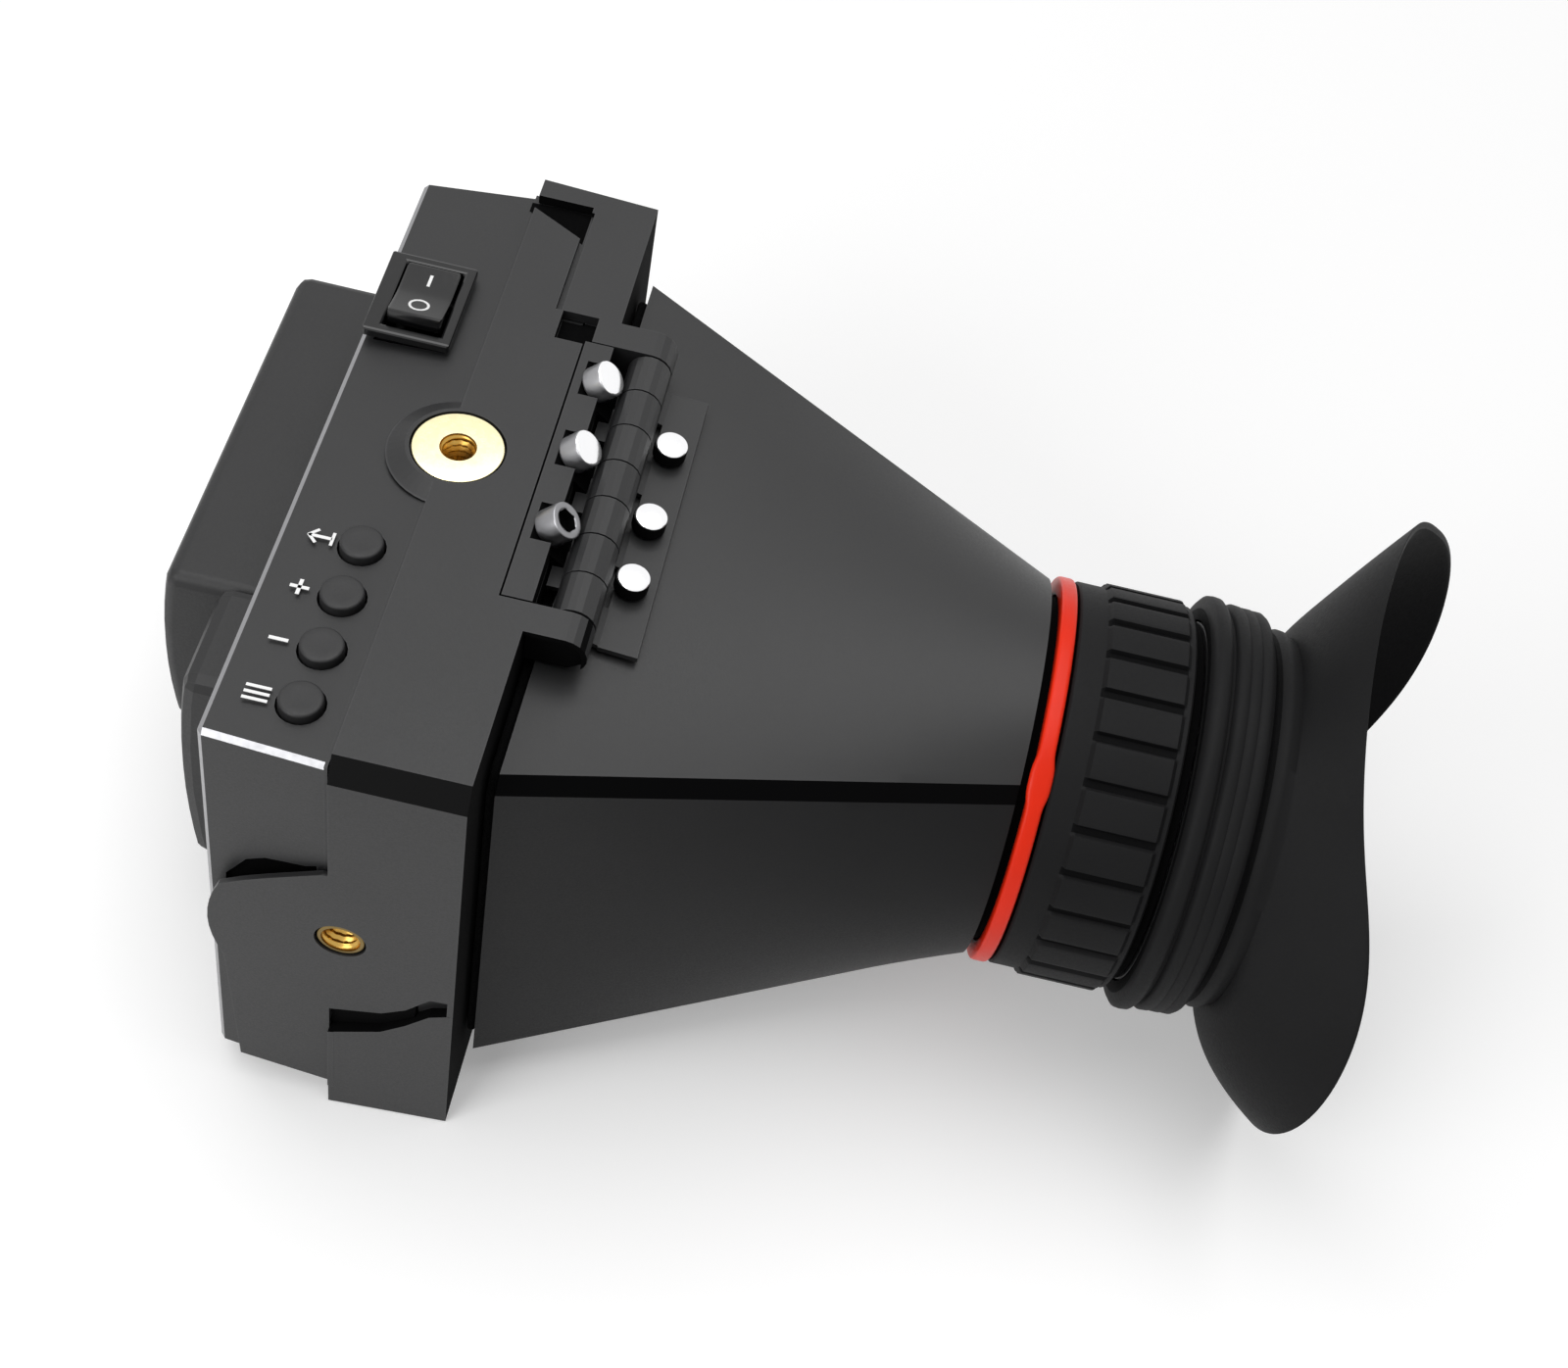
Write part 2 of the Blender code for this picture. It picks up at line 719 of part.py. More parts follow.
# Switch and button places
switch_low_y = housing_back + switch_overhang - switch_breadth
switch_body_inset = switch_flange_rim - switch_wall
switch_body_back = housing_back - housing_wall - 2 * fit_gap
switch_well = cutter_box(
    "switch_well",
    (switch_x - switch_length / 2 + switch_body_inset - fit_gap,
     switch_low_y + switch_body_inset - fit_gap, housing_top - switch_depth),
    (switch_x + switch_length / 2 - switch_body_inset + fit_gap,
     switch_body_back + fit_gap, housing_top + switch_depth))
button_y = housing_back - button_setback
button_spots = [button_first_x - i * button_pitch for i in range(button_count)]
button_holes = []
for i, spot in enumerate(button_spots):
    button_holes.append(cutter_cylinder(
        "button_hole_%d" % (i + 1), (spot, button_y, housing_top - button_stem),
        (spot, button_y, housing_top + button_stem), button_radius + slide_gap))
top_hole = cutter_cylinder(
    "housing_insert_hole", (0.0, insert_y, housing_top - insert_length),
    (0.0, insert_y, housing_top + insert_length), insert_sleeve_radius + 2 * fit_gap)
side_hole = cutter_cylinder(
    "housing_side_hole", (-housing_width / 2 - insert_length, insert_y, side_insert_z),
    (-housing_width / 2 + insert_length, insert_y, side_insert_z),
    side_insert_radius + fit_gap)
video_y = frame_back + housing_wall + socket_height / 2
video_hole = cutter_box(
    "video_socket_hole",
    (housing_width / 2 - insert_length, video_y - socket_height / 2 - fit_gap,
     axis_height - socket_width / 2 - fit_gap),
    (housing_width / 2 + insert_length, video_y + socket_height / 2 + fit_gap,
     axis_height + socket_width / 2 + fit_gap))
front_corner = corner_cutter("housing_corner", frame_edge_chamfer_wall + fit_gap,
                             frame_back + fit_gap)
cut(housing, [front_block], "UNION")
cut(housing, [front_corner, cavity, rear_cavity, back_opening, bezel_cut, switch_well]
    + button_holes + [top_hole, side_hole, video_hole, ledge_hollow])

# Display stack inside the housing
stack_y = housing_front + bezel_thickness + fit_gap
add_object("screen_glass", box_mesh(
    "screen_glass", (-glass_width / 2, stack_y, axis_height - glass_height / 2),
    (glass_width / 2, stack_y + glass_thickness, axis_height + glass_height / 2)), glass)
panel_y = stack_y + glass_thickness + fit_gap
add_object("display_panel", box_mesh(
    "display_panel", (-panel_width / 2, panel_y, axis_height - panel_height / 2),
    (panel_width / 2, panel_y + panel_thickness, axis_height + panel_height / 2)), panel_dark)
board_y = panel_y + panel_thickness + fit_gap
add_object("circuit_board", box_mesh(
    "circuit_board", (-board_width / 2, board_y, axis_height - board_height / 2),
    (board_width / 2, board_y + board_thickness, axis_height + board_height / 2)), board_green)

# Video socket: an open-ended sleeve in the far side
video_shell = add_object("video_socket", box_mesh(
    "video_socket",
    (housing_width / 2 - housing_draft - socket_length, video_y - socket_height / 2,
     axis_height - socket_width / 2),
    (housing_width / 2 - housing_draft, video_y + socket_height / 2,
     axis_height + socket_width / 2)), steel)
video_inside = cutter_box(
    "video_inside",
    (housing_width / 2 - housing_draft - socket_length + socket_wall,
     video_y - socket_height / 2 + socket_wall, axis_height - socket_width / 2 + socket_wall),
    (housing_width / 2 + socket_length, video_y + socket_height / 2 - socket_wall,
     axis_height + socket_width / 2 - socket_wall))
cut(video_shell, [video_inside])

# Power switch: a flanged well with a rocker that turns on a short cross axis
switch = add_object("switch_bezel", box_mesh(
    "switch_bezel",
    (switch_x - switch_length / 2, switch_low_y, housing_top + fit_gap),
    (switch_x + switch_length / 2, switch_low_y + switch_breadth,
     housing_top + fit_gap + switch_flange)), gloss_black)
switch_body = cutter_box(
    "switch_body",
    (switch_x - switch_length / 2 + switch_body_inset,
     switch_low_y + switch_body_inset, housing_top - switch_depth + fit_gap),
    (switch_x + switch_length / 2 - switch_body_inset,
     switch_body_back, housing_top + switch_flange / 2))
rocker_length = switch_length - 2 * switch_flange_rim - 2 * slide_gap
rocker_breadth = (switch_body_back - switch_wall - switch_low_y - switch_flange_rim
                  - 2 * slide_gap)
rocker_y = switch_low_y + switch_flange_rim + slide_gap + rocker_breadth / 2
rocker_top = housing_top + fit_gap + switch_flange
switch_hollow = cutter_box(
    "switch_hollow",
    (switch_x - rocker_length / 2 - slide_gap, rocker_y - rocker_breadth / 2 - slide_gap,
     rocker_top - rocker_depth - rocker_rise),
    (switch_x + rocker_length / 2 + slide_gap, rocker_y + rocker_breadth / 2 + slide_gap,
     housing_top + switch_depth))
cut(switch, [switch_body], "UNION")
cut(switch, [switch_hollow])

# The rocker's top is two flats that meet in a shallow vee, tipped down at the far end
rocker_outline = []
rocker_half = rocker_length / 2 - slide_gap
vee = math.tan(math.radians(rocker_angle)) * rocker_half
for x, z in ((-rocker_half, rocker_rise + vee), (0.0, rocker_rise),
             (rocker_half, rocker_rise + vee), (rocker_half, 0.0), (rocker_half / 2, -rocker_depth / 2),
             (-rocker_half / 2, -rocker_depth / 2), (-rocker_half, 0.0)):
    tip = math.radians(rocker_angle)
    rocker_outline.append((switch_x + x * math.cos(tip) + z * math.sin(tip),
                           rocker_top - rocker_pivot_depth / 2
                           - x * math.sin(tip) + z * math.cos(tip)))
add_object("power_rocker", outline_mesh(
    "power_rocker", rocker_outline, rocker_y - rocker_breadth / 2,
    rocker_y + rocker_breadth / 2, "Y"), gloss_black)

# Push buttons: a low domed cap with a collar that keeps it in the housing
button_names = ["button_exit", "button_plus", "button_minus", "button_menu"]
button_under = (housing_top - housing_wall - housing_draft_height
                - slide_gap - button_travel)
button_height = housing_top + button_rise - button_under + button_collar
for name, spot in zip(button_names, button_spots):
    turned_object(name, [
        (button_height, 0.0), (button_height - button_dome / 4, button_radius * 0.7),
        (button_height - button_dome, button_radius), (button_collar, button_radius),
        (button_collar, button_radius + button_collar), (0.0, button_radius + button_collar),
        (0.0, 0.0)], black_plastic,
        (spot, button_y, button_under - button_collar), 0.0, small_sides, closed=False)

# Back cover over the housing's open back
cover_y = housing_back + fit_gap
cover_back = cover_y + cover_thickness
add_object("back_cover", box_mesh(
    "back_cover", (-half_cover_x, cover_y, axis_height - half_cover_z),
    (half_cover_x, cover_back, axis_height + half_cover_z - cover_top_inset)), black_metal)

# Battery plate with its terminal block, the battery and the release latch
bulge_points = 9


def bulged_outline(start, low, high, thickness, bulge):
    """Outline in Y and Z: flat at start, gently curved at the back."""
    middle = (low + high) / 2
    half = (high - low) / 2
    points = [(start, high), (start, low)]
    for k in range(bulge_points):
        t = -1 + 2 * k / (bulge_points - 1)
        points.append((start + thickness - bulge * t * t, middle + half * t))
    return points


plate_y = cover_back + fit_gap
plate_back = plate_y + plate_thickness
battery_middle = axis_height - battery_drop
battery_low = battery_middle - battery_height / 2
battery_high = battery_low + battery_height
battery_start = battery_x - battery_length / 2
battery_end = battery_x + battery_length / 2
terminal_start = battery_start - fit_gap - terminal_length
terminal_middle = axis_height - terminal_drop
terminal_low = terminal_middle - terminal_height / 2
terminal_high = terminal_low + terminal_height
battery_plate = add_object("battery_plate", box_mesh(
    "battery_plate", (terminal_start + battery_bevel, plate_y, battery_low),
    (battery_end, plate_back, battery_high)), black_plastic)
terminal_block = add_object("terminal_block", outline_mesh(
    "terminal_block",
    bulged_outline(plate_y, terminal_low, terminal_high, terminal_thickness, terminal_bulge),
    terminal_start, battery_start - fit_gap, "X"), cutter=True)
bevel(terminal_block, battery_bevel, 2)
latch_x = battery_start - fit_gap - terminal_length / 2
latch_y = plate_y + terminal_thickness
latch_well = cutter_cylinder(
    "latch_well", (latch_x, latch_y - latch_length - slide_gap, terminal_middle),
    (latch_x, latch_y + terminal_thickness, terminal_middle), latch_radius + slide_gap)
cut(battery_plate, [terminal_block], "UNION")
cut(battery_plate, [latch_well])
battery = add_object("battery_pack", outline_mesh(
    "battery_pack",
    bulged_outline(plate_back + fit_gap, battery_low, battery_high, battery_thickness,
                   battery_bulge),
    battery_start, battery_end, "X"), black_plastic)
bevel(battery, battery_bevel, 2)
add_object("battery_latch", cylinder_mesh(
    "battery_latch", (latch_x, latch_y + latch_rise - latch_length, terminal_middle),
    (latch_x, latch_y + latch_rise, terminal_middle), latch_radius, small_sides),
    black_plastic)

# Cover screws at the back corners, proud of the cover by their thin heads
for side in (-1, 1):
    for level in (-1, 1):
        name = "cover_screw_%s_%s" % ("near" if side < 0 else "far",
                                      "low" if level < 0 else "high")
        x = side * (half_cover_x - cover_screw_inset)
        z = (axis_height + level * (half_cover_z - cover_screw_inset)
             - max(level, 0) * cover_top_inset)
        add_object(name, cylinder_mesh(
            name, (x, cover_back + running_gap, z),
            (x, cover_back + running_gap + cover_screw_height, z),
            cover_screw_radius, small_sides, cover_screw_radius * 0.85), steel)

# Fixed hinge leaf: a flange in the frame's rebate, sloping lugs and three knuckles


def knuckle_span(index):
    """Low and high X of a knuckle, counted from the far end."""
    high = hinge_start - index * knuckle_length
    return high - knuckle_length + knuckle_gap / 2, high - knuckle_gap / 2


leaf = add_object("hinge_leaf_frame", box_mesh(
    "hinge_leaf_frame",
    (hinge_start - hinge_span, frame_front, frame_height - leaf_flange_thickness),
    (hinge_start, frame_front + leaf_flange_depth, frame_height)), black_metal)
slope = math.tan(math.radians(lug_slope))
lug_crest = frame_front + leaf_flange_depth * lug_crest_share
lug_front = hinge_y + barrel_radius + leaf_clearance
lug_low = frame_height - (lug_crest - lug_front) * slope
lug_tools = []
slope_tools = []
knuckle_tools = []
lug_centres = []
for index in (1, 3, 5):
    low_x, high_x = knuckle_span(index)
    centre = (low_x + high_x) / 2 + frame_screw_offset
    lug_low_x = centre - lug_width / 2
    lug_high_x = centre + lug_width / 2
    lug_centres.append(centre)
    lug_tools.append(add_object("leaf_lug_%d" % index, outline_mesh(
        "leaf_lug_%d" % index,
        [(lug_crest, frame_height - leaf_thickness / 2),
         (lug_front, frame_height - leaf_thickness / 2),
         (lug_front, lug_low - leaf_thickness),
         (frame_front - fit_gap, frame_height - leaf_flange_thickness - leaf_thickness),
         (frame_front - fit_gap, frame_height - leaf_flange_thickness + leaf_thickness / 2),
         (lug_crest, frame_height - leaf_flange_thickness + leaf_thickness / 2)],
        lug_low_x, lug_high_x, "X"), cutter=True))
    slope_tools.append(add_object("leaf_slope_%d" % index, outline_mesh(
        "leaf_slope_%d" % index,
        [(lug_crest, frame_height), (lug_crest + leaf_thickness, frame_height + leaf_thickness),
         (lug_front - leaf_thickness, frame_height + leaf_thickness),
         (lug_front - leaf_thickness, lug_low - leaf_thickness * slope)],
        lug_low_x - fit_gap, lug_high_x + fit_gap, "X"), cutter=True))
    knuckle_tools.append(cutter_cylinder(
        "leaf_knuckle_%d" % index, (low_x, hinge_y, hinge_z), (high_x, hinge_y, hinge_z),
        barrel_radius))
    knuckle_tools.append(cutter_box(
        "leaf_bridge_%d" % index,
        (low_x + running_gap / 2, hinge_y + pin_radius, lug_low - leaf_thickness + running_gap),
        (high_x - running_gap / 2, frame_front - leaf_clearance, lug_low - running_gap)))
cut(leaf, lug_tools, "UNION")
cut(leaf, slope_tools)
cut(leaf, knuckle_tools, "UNION")
leaf_bore = cutter_cylinder(
    "leaf_pin_bore", (ear_near[0] - ear_length, hinge_y, hinge_z),
    (ear_far[1] + ear_length, hinge_y, hinge_z), pin_radius + running_gap)
cut(leaf, [leaf_bore])

# Screws that hold the fixed leaf, square to the lugs' slope
screw_names = ["frame_hinge_screw_far", "frame_hinge_screw_middle", "frame_hinge_screw_near"]
lean = Vector((0.0, -math.sin(math.radians(lug_slope)), math.cos(math.radians(lug_slope))))
seat_y = lug_crest - frame_screw_setback
for name, centre in zip(screw_names, lug_centres):
    seat = Vector((centre, seat_y, frame_height - (lug_crest - seat_y) * slope)) + lean * fit_gap
    screw = add_object(name, cylinder_mesh(
        name, seat, seat + lean * frame_screw_height, frame_screw_radius, small_sides), chrome)
    if name.endswith("near"):
        drive = cutter_cylinder(
            name + "_socket", seat + lean * (frame_screw_height - socket_depth),
            seat + lean * 2 * frame_screw_height, socket_radius, 6)
        cut(screw, [drive])

# Hinge pin through the ears and all the knuckles
add_object("hinge_pin", cylinder_mesh(
    "hinge_pin", (ear_near[0] + ear_hollow_length + running_gap, hinge_y, hinge_z),
    (ear_far[1] - fit_gap, hinge_y, hinge_z), pin_radius, small_sides), steel)

# Hood: a loft from a chamfered rectangle to a circle, open at both ends
side_points = 11


def hood_section(share, inset, y):
    """Points round the hood at a share of the way from its base to its round end."""
    half_x = hood_width / 2 - inset
    half_z = hood_height / 2 - inset
    chamfer = hood_corner_chamfer
    corners = [(half_x, -half_z + chamfer), (half_x, half_z - chamfer),
               (half_x - chamfer, half_z), (-half_x + chamfer, half_z),
               (-half_x, half_z - chamfer), (-half_x, -half_z + chamfer),
               (-half_x + chamfer, -half_z), (half_x - chamfer, -half_z)]
    radius = hood_end_radius - inset
    spread = math.degrees(chamfer * math.sqrt(2) / hood_end_radius) / 2
    turns = [-45 + spread, 45 - spread, 45 + spread, 135 - spread,
             135 + spread, 225 - spread, 225 + spread, 315 - spread]
    points = []
    for i in range(0, 8, 2):
        for k in range(side_points):
            t = k / (side_points - 1)
            flat_x = corners[i][0] + (corners[i + 1][0] - corners[i][0]) * t
            flat_z = corners[i][1] + (corners[i + 1][1] - corners[i][1]) * t
            angle = math.radians(turns[i] + (turns[i + 1] - turns[i]) * t)
            x = flat_x + (radius * math.cos(angle) - flat_x) * share
            z = flat_z + (radius * math.sin(angle) - flat_z) * share
            points.append((x, y, axis_height + z))
    return points


hood_stations = 6
outer_rings = []
inner_rings = []
for i in range(hood_stations + 1):
    share = i / hood_stations
    y = hood_base - hood_length * share
    wall = hood_base_wall + (hood_end_wall - hood_base_wall) * share
    outer_rings.append(hood_section(share, 0.0, y))
    inner_rings.append(hood_section(share, wall, y))
add_object("hood_shell", ring_stack_mesh(
    "hood_shell", outer_rings + inner_rings[::-1], closed_loop=True), black_plastic)

# Light seal between the frame and the hood
seal_outer = hood_section(0.0, seal_inset, frame_front - fit_gap)
seal_inner = hood_section(0.0, seal_inset + seal_breadth, frame_front - fit_gap)
seal_thickness = hood_gap - 2 * fit_gap
add_object("light_seal", ring_stack_mesh("light_seal", [
    seal_outer, [(x, y - seal_thickness, z) for x, y, z in seal_outer],
    [(x, y - seal_thickness, z) for x, y, z in seal_inner], seal_inner],
    closed_loop=True), foam)

# Moving hinge leaf: a thin plate on the hood's sloping top, with four knuckles
hood_top = axis_height + hood_height / 2
hood_fall = (hood_height / 2 - hood_end_radius) / hood_length


def hood_top_at(y):
    return hood_top - (hood_base - y) * hood_fall


leaf_back = hinge_y - barrel_radius - leaf_clearance
leaf_front = leaf_back - leaf_reach
moving_leaf = add_object("hinge_leaf_hood", outline_mesh(
    "hinge_leaf_hood",
    [(leaf_back, hood_top_at(leaf_back) + fit_gap),
     (leaf_front, hood_top_at(leaf_front) + fit_gap),
     (leaf_front, hood_top_at(leaf_front) + fit_gap + hood_leaf_thickness),
     (leaf_back, hood_top_at(leaf_back) + fit_gap + hood_leaf_thickness)],
    hinge_start - hinge_span, hinge_start, "X"), black_metal)
moving_tools = []
tab_start = leaf_back - hood_leaf_thickness / 2
for index in (0, 2, 4, 6):
    low_x, high_x = knuckle_span(index)
    moving_tools.append(cutter_cylinder(
        "moving_knuckle_%d" % index, (low_x, hinge_y, hinge_z), (high_x, hinge_y, hinge_z),
        barrel_radius))
    moving_tools.append(add_object("moving_tab_%d" % index, outline_mesh(
        "moving_tab_%d" % index,
        [(tab_start, hood_top_at(tab_start) + fit_gap + hood_leaf_thickness * 0.1),
         (tab_start, hood_top_at(tab_start) + fit_gap + hood_leaf_thickness * 0.9),
         (hinge_y - running_gap, hinge_z - pin_radius - 3 * running_gap),
         (hinge_y - running_gap, hinge_z - barrel_radius + running_gap)],
        low_x + running_gap / 2, high_x - running_gap / 2, "X"), cutter=True))
cut(moving_leaf, moving_tools, "UNION")
moving_bore = cutter_cylinder(
    "moving_pin_bore", (ear_near[0] - ear_length, hinge_y, hinge_z),
    (ear_far[1] + ear_length, hinge_y, hinge_z), pin_radius + running_gap)
cut(moving_leaf, [moving_bore])

# Screws on the moving leaf
hood_screw_y = hinge_y - hood_screw_reach
hood_lean = Vector((0.0, -math.sin(math.atan(hood_fall)), math.cos(math.atan(hood_fall))))
for label, screw_x in (("far", hood_screw_far_x), ("middle", hood_screw_middle_x),
                       ("near", hood_screw_near_x)):
    name = "hood_hinge_screw_" + label
    seat = Vector((screw_x, hood_screw_y,
                   hood_top_at(hood_screw_y) + hood_leaf_thickness + 2 * fit_gap))
    add_object(name, cylinder_mesh(
        name, seat, seat + hood_lean * hood_screw_height, hood_screw_radius, small_sides),
        chrome)

# Magnets that hold the hood shut: one pair in the frame, one pair in the hood
frame_magnet_wells = []
for label, (x, z) in zip(("near", "far"), magnet_places):
    frame_magnet_wells.append(cutter_cylinder(
        "frame_magnet_well_" + label, (x, frame_front + magnet_length + fit_gap, z),
        (x, frame_front - magnet_length, z), magnet_radius / 2 + fit_gap, small_sides))
    add_object("frame_magnet_" + label, cylinder_mesh(
        "frame_magnet_" + label, (x, frame_front + fit_gap, z),
        (x, frame_front + magnet_length, z), magnet_radius / 2, small_sides), steel)
cut(frame, frame_magnet_wells)

# Lens barrel, fixed in the hood's round end
barrel_front = hood_end + barrel_start
red_start = hood_end - red_ring_setback
red_end = red_start - red_ring_length
focus_start = red_end - fit_gap
focus_end = focus_start - focus_ring_length
flange_start = focus_end - fit_gap
flange_end = flange_start - barrel_lip
optical_object("lens_barrel", [
    (barrel_front, barrel_inner), (barrel_front, barrel_outer),
    (flange_start, barrel_outer), (flange_start, neck_ring_radius),
    (flange_end, neck_ring_radius), (flange_end, barrel_inner)], black_plastic)
optical_object("red_marker_ring", [
    (red_start, barrel_outer + fit_gap), (red_start, red_ring_radius - fit_gap),
    (red_start - fit_gap, red_ring_radius), (red_end + fit_gap, red_ring_radius),
    (red_end, red_ring_radius - fit_gap), (red_end, barrel_outer + fit_gap)], red)

# Focus ring with raised ribs along the axis

def rib_ring(y, height):
    points = []
    for i in range(rib_count):
        pitch = 360.0 / rib_count
        for share, raised in ((0.0, 0), (0.06, 1), (rib_share, 1), (rib_share + 0.06, 0)):
            angle = math.radians((i + share) * pitch)
            radius = focus_ring_radius + height * raised
            points.append((radius * math.cos(angle), y,
                           axis_height + radius * math.sin(angle)))
    return points


def plain_ring(y, radius):
    points = []
    for i in range(rib_count):
        pitch = 360.0 / rib_count
        for share in (0.0, 0.06, rib_share, rib_share + 0.06):
            angle = math.radians((i + share) * pitch)
            points.append((radius * math.cos(angle), y,
                           axis_height + radius * math.sin(angle)))
    return points


focus_inner = focus_ring_radius - focus_ring_wall
add_object("focus_ring", ring_stack_mesh("focus_ring", [
    plain_ring(focus_start, focus_inner), plain_ring(focus_start, focus_ring_radius),
    rib_ring(focus_start - rib_start, 0.0),
    rib_ring(focus_start - rib_start - rib_ramp, rib_height),
    rib_ring(focus_end + rib_end + rib_ramp, rib_height),
    rib_ring(focus_end + rib_end, 0.0),
    plain_ring(focus_end, focus_ring_radius), plain_ring(focus_end, focus_inner)],
    closed_loop=True), rubber)

# Lens cell that slides in the barrel, with its lens and retaining ring
cell_outer = barrel_inner - running_gap * 2
cell_inner = cell_outer - cell_wall
cell_start = hood_end - cell_setback
cell_end = cell_start - cell_length
seat_start = cell_end + retainer_length + lens_edge + lens_seat + fit_gap * 2
optical_object("lens_cell", [
    (cell_start, cell_inner), (cell_start, cell_outer), (cell_end, cell_outer),
    (cell_end, cell_inner), (seat_start - lens_seat, cell_inner),
    (seat_start - lens_seat, cell_inner - lens_seat), (seat_start, cell_inner - lens_seat),
    (seat_start, cell_inner)], black_plastic)
lens_radius = cell_inner - fit_gap
lens_start = seat_start - lens_seat - fit_gap
lens_middle = lens_start - lens_edge / 2
bulge = (lens_thickness - lens_edge) / 2
dome = []
for step in range(4):
    share = (step + 1) / 4
    dome.append((lens_middle + lens_edge / 2 + bulge * (1 - share * share),
                 lens_radius * share * (1 - lens_seat / lens_radius * (share == 1))))
lens_profile = [(lens_middle + lens_thickness / 2, 0.0)] + dome
lens_profile += [(lens_start, lens_radius), (lens_start - lens_edge, lens_radius)]
lens_profile += [(2 * lens_middle - y, radius) for y, radius in lens_profile[:5][::-1]]
optical_object("eyepiece_lens", lens_profile, glass, closed=False)
retainer_start = lens_start - lens_edge - fit_gap
optical_object("lens_retaining_ring", [
    (retainer_start, cell_inner - fit_gap), (cell_end, cell_inner - fit_gap),
    (cell_end, cell_inner - lens_seat), (retainer_start, cell_inner - lens_seat)],
    black_metal)

# Eyecup: a snap ring on the barrel's end and a soft two-winged cup round it
cup_start = flange_end - slide_gap
optical_object("eyecup_mount_ring", [
    (cup_start, barrel_inner), (cup_start, neck_ring_radius),
    (cup_start - neck_ring_length, neck_ring_radius),
    (cup_start - neck_ring_length, barrel_inner)], black_plastic)

cup_sides = 48


def cup_ring(y, radius, flare):
    """A ring of the cup; flare goes from 0 at the neck to 1 at the two-winged rim."""
    points = []
    for k in range(cup_sides):
        angle = 2 * math.pi * k / cup_sides
        lobe = math.cos(angle) ** 2
        wing, bow = ((far_wing_radius, far_wing_bow) if math.cos(angle) > 0
                     else (near_wing_radius, near_wing_bow))
        rim_radius = ((abs(math.cos(angle)) / wing) ** rim_fullness
                      + (abs(math.sin(angle)) / saddle_radius) ** rim_fullness
                      ) ** (-1 / rim_fullness) - (neck_radius - radius)
        rim_y = y_neck - rim_reach
        for wave, (sine, cosine) in enumerate(rim_waves, start=1):
            rim_y += sine * math.sin(wave * angle) + cosine * math.cos(wave * angle)
        r = radius + (rim_radius - radius) * flare ** (1.0 - bow * lobe)
        turn = angle + math.radians(wing_turn)
        points.append((r * math.cos(turn), y + (rim_y - y) * flare,
                       axis_height + r * math.sin(turn)))
    return points


y_neck = cup_start - neck_reach
outer_profile = [
    (0.00, neck_ring_radius + fit_gap + eyecup_wall), (0.03, ridge_radius - eyecup_wall / 2),
    (0.10, ridge_radius), (0.24, ridge_radius), (0.31, valley_radius),
    (0.36, valley_radius), (0.44, second_ridge_radius), (0.62, second_ridge_radius),
    (0.80, (second_ridge_radius + neck_radius) / 2), (1.00, neck_radius)]
cup_run = cup_start - y_neck
cup_rings = []
for share, radius in outer_profile:
    cup_rings.append(cup_ring(cup_start - cup_run * share, radius, 0.0))
flare_steps = (0.08, 0.25, 0.5, 0.75, 1.0)
for flare in flare_steps:
    cup_rings.append(cup_ring(y_neck, neck_radius, flare))
for flare in flare_steps[::-1] + (0.0,):
    cup_rings.append(cup_ring(y_neck, neck_radius - eyecup_wall, flare))
inner_step = cup_start - neck_ring_length - fit_gap
cup_rings.append(cup_ring(inner_step, neck_radius - eyecup_wall, 0.0))
cup_rings.append(cup_ring(inner_step, neck_ring_radius + fit_gap, 0.0))
cup_rings.append(cup_ring(cup_start, neck_ring_radius + fit_gap, 0.0))
add_object("eyecup", ring_stack_mesh("eyecup", cup_rings, closed_loop=True), rubber)

# Each moving piece hangs on an empty that stands on its joint's axis


def hang(name, place, pieces, parent=None):
    pivot = bpy.data.objects.new(name, None)
    pivot.empty_display_size = barrel_radius
    collection.objects.link(pivot)
    pivot.location = place
    if parent is not None:
        pivot.parent = parent
        pivot.matrix_parent_inverse = Matrix.Translation(-parent.location)
    for piece in pieces:
        thing = collection.objects[piece]
        thing.parent = pivot
        thing.matrix_parent_inverse = Matrix.Translation(-Vector(place))
    return pivot


hood_pivot = hang("hood_pivot", (0.0, hinge_y, hinge_z), [
    "hood_shell", "hinge_leaf_hood", "hood_hinge_screw_far", "hood_hinge_screw_middle",
    "hood_hinge_screw_near", "light_seal", "lens_barrel", "red_marker_ring"])
hang("focus_pivot", (0.0, focus_start, axis_height), ["focus_ring"], hood_pivot)
hang("magnifier_slide", (0.0, cell_start, axis_height),
     ["lens_cell", "eyepiece_lens", "lens_retaining_ring"], hood_pivot)
hang("eyecup_pivot", (0.0, cup_start, axis_height), ["eyecup_mount_ring", "eyecup"], hood_pivot)
hang("battery_slide", (battery_start, plate_back, battery_middle), ["battery_pack"])
hang("latch_slide", (latch_x, latch_y, terminal_middle), ["battery_latch"])
hang("rocker_pivot", (switch_x, rocker_y, rocker_top - rocker_pivot_depth / 2), ["power_rocker"])
for name, spot in zip(button_names, button_spots):
    hang(name + "_slide", (spot, button_y, housing_top), [name])
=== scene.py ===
import math
import bmesh
import bpy
import numpy as np
from mathutils import Matrix, Vector


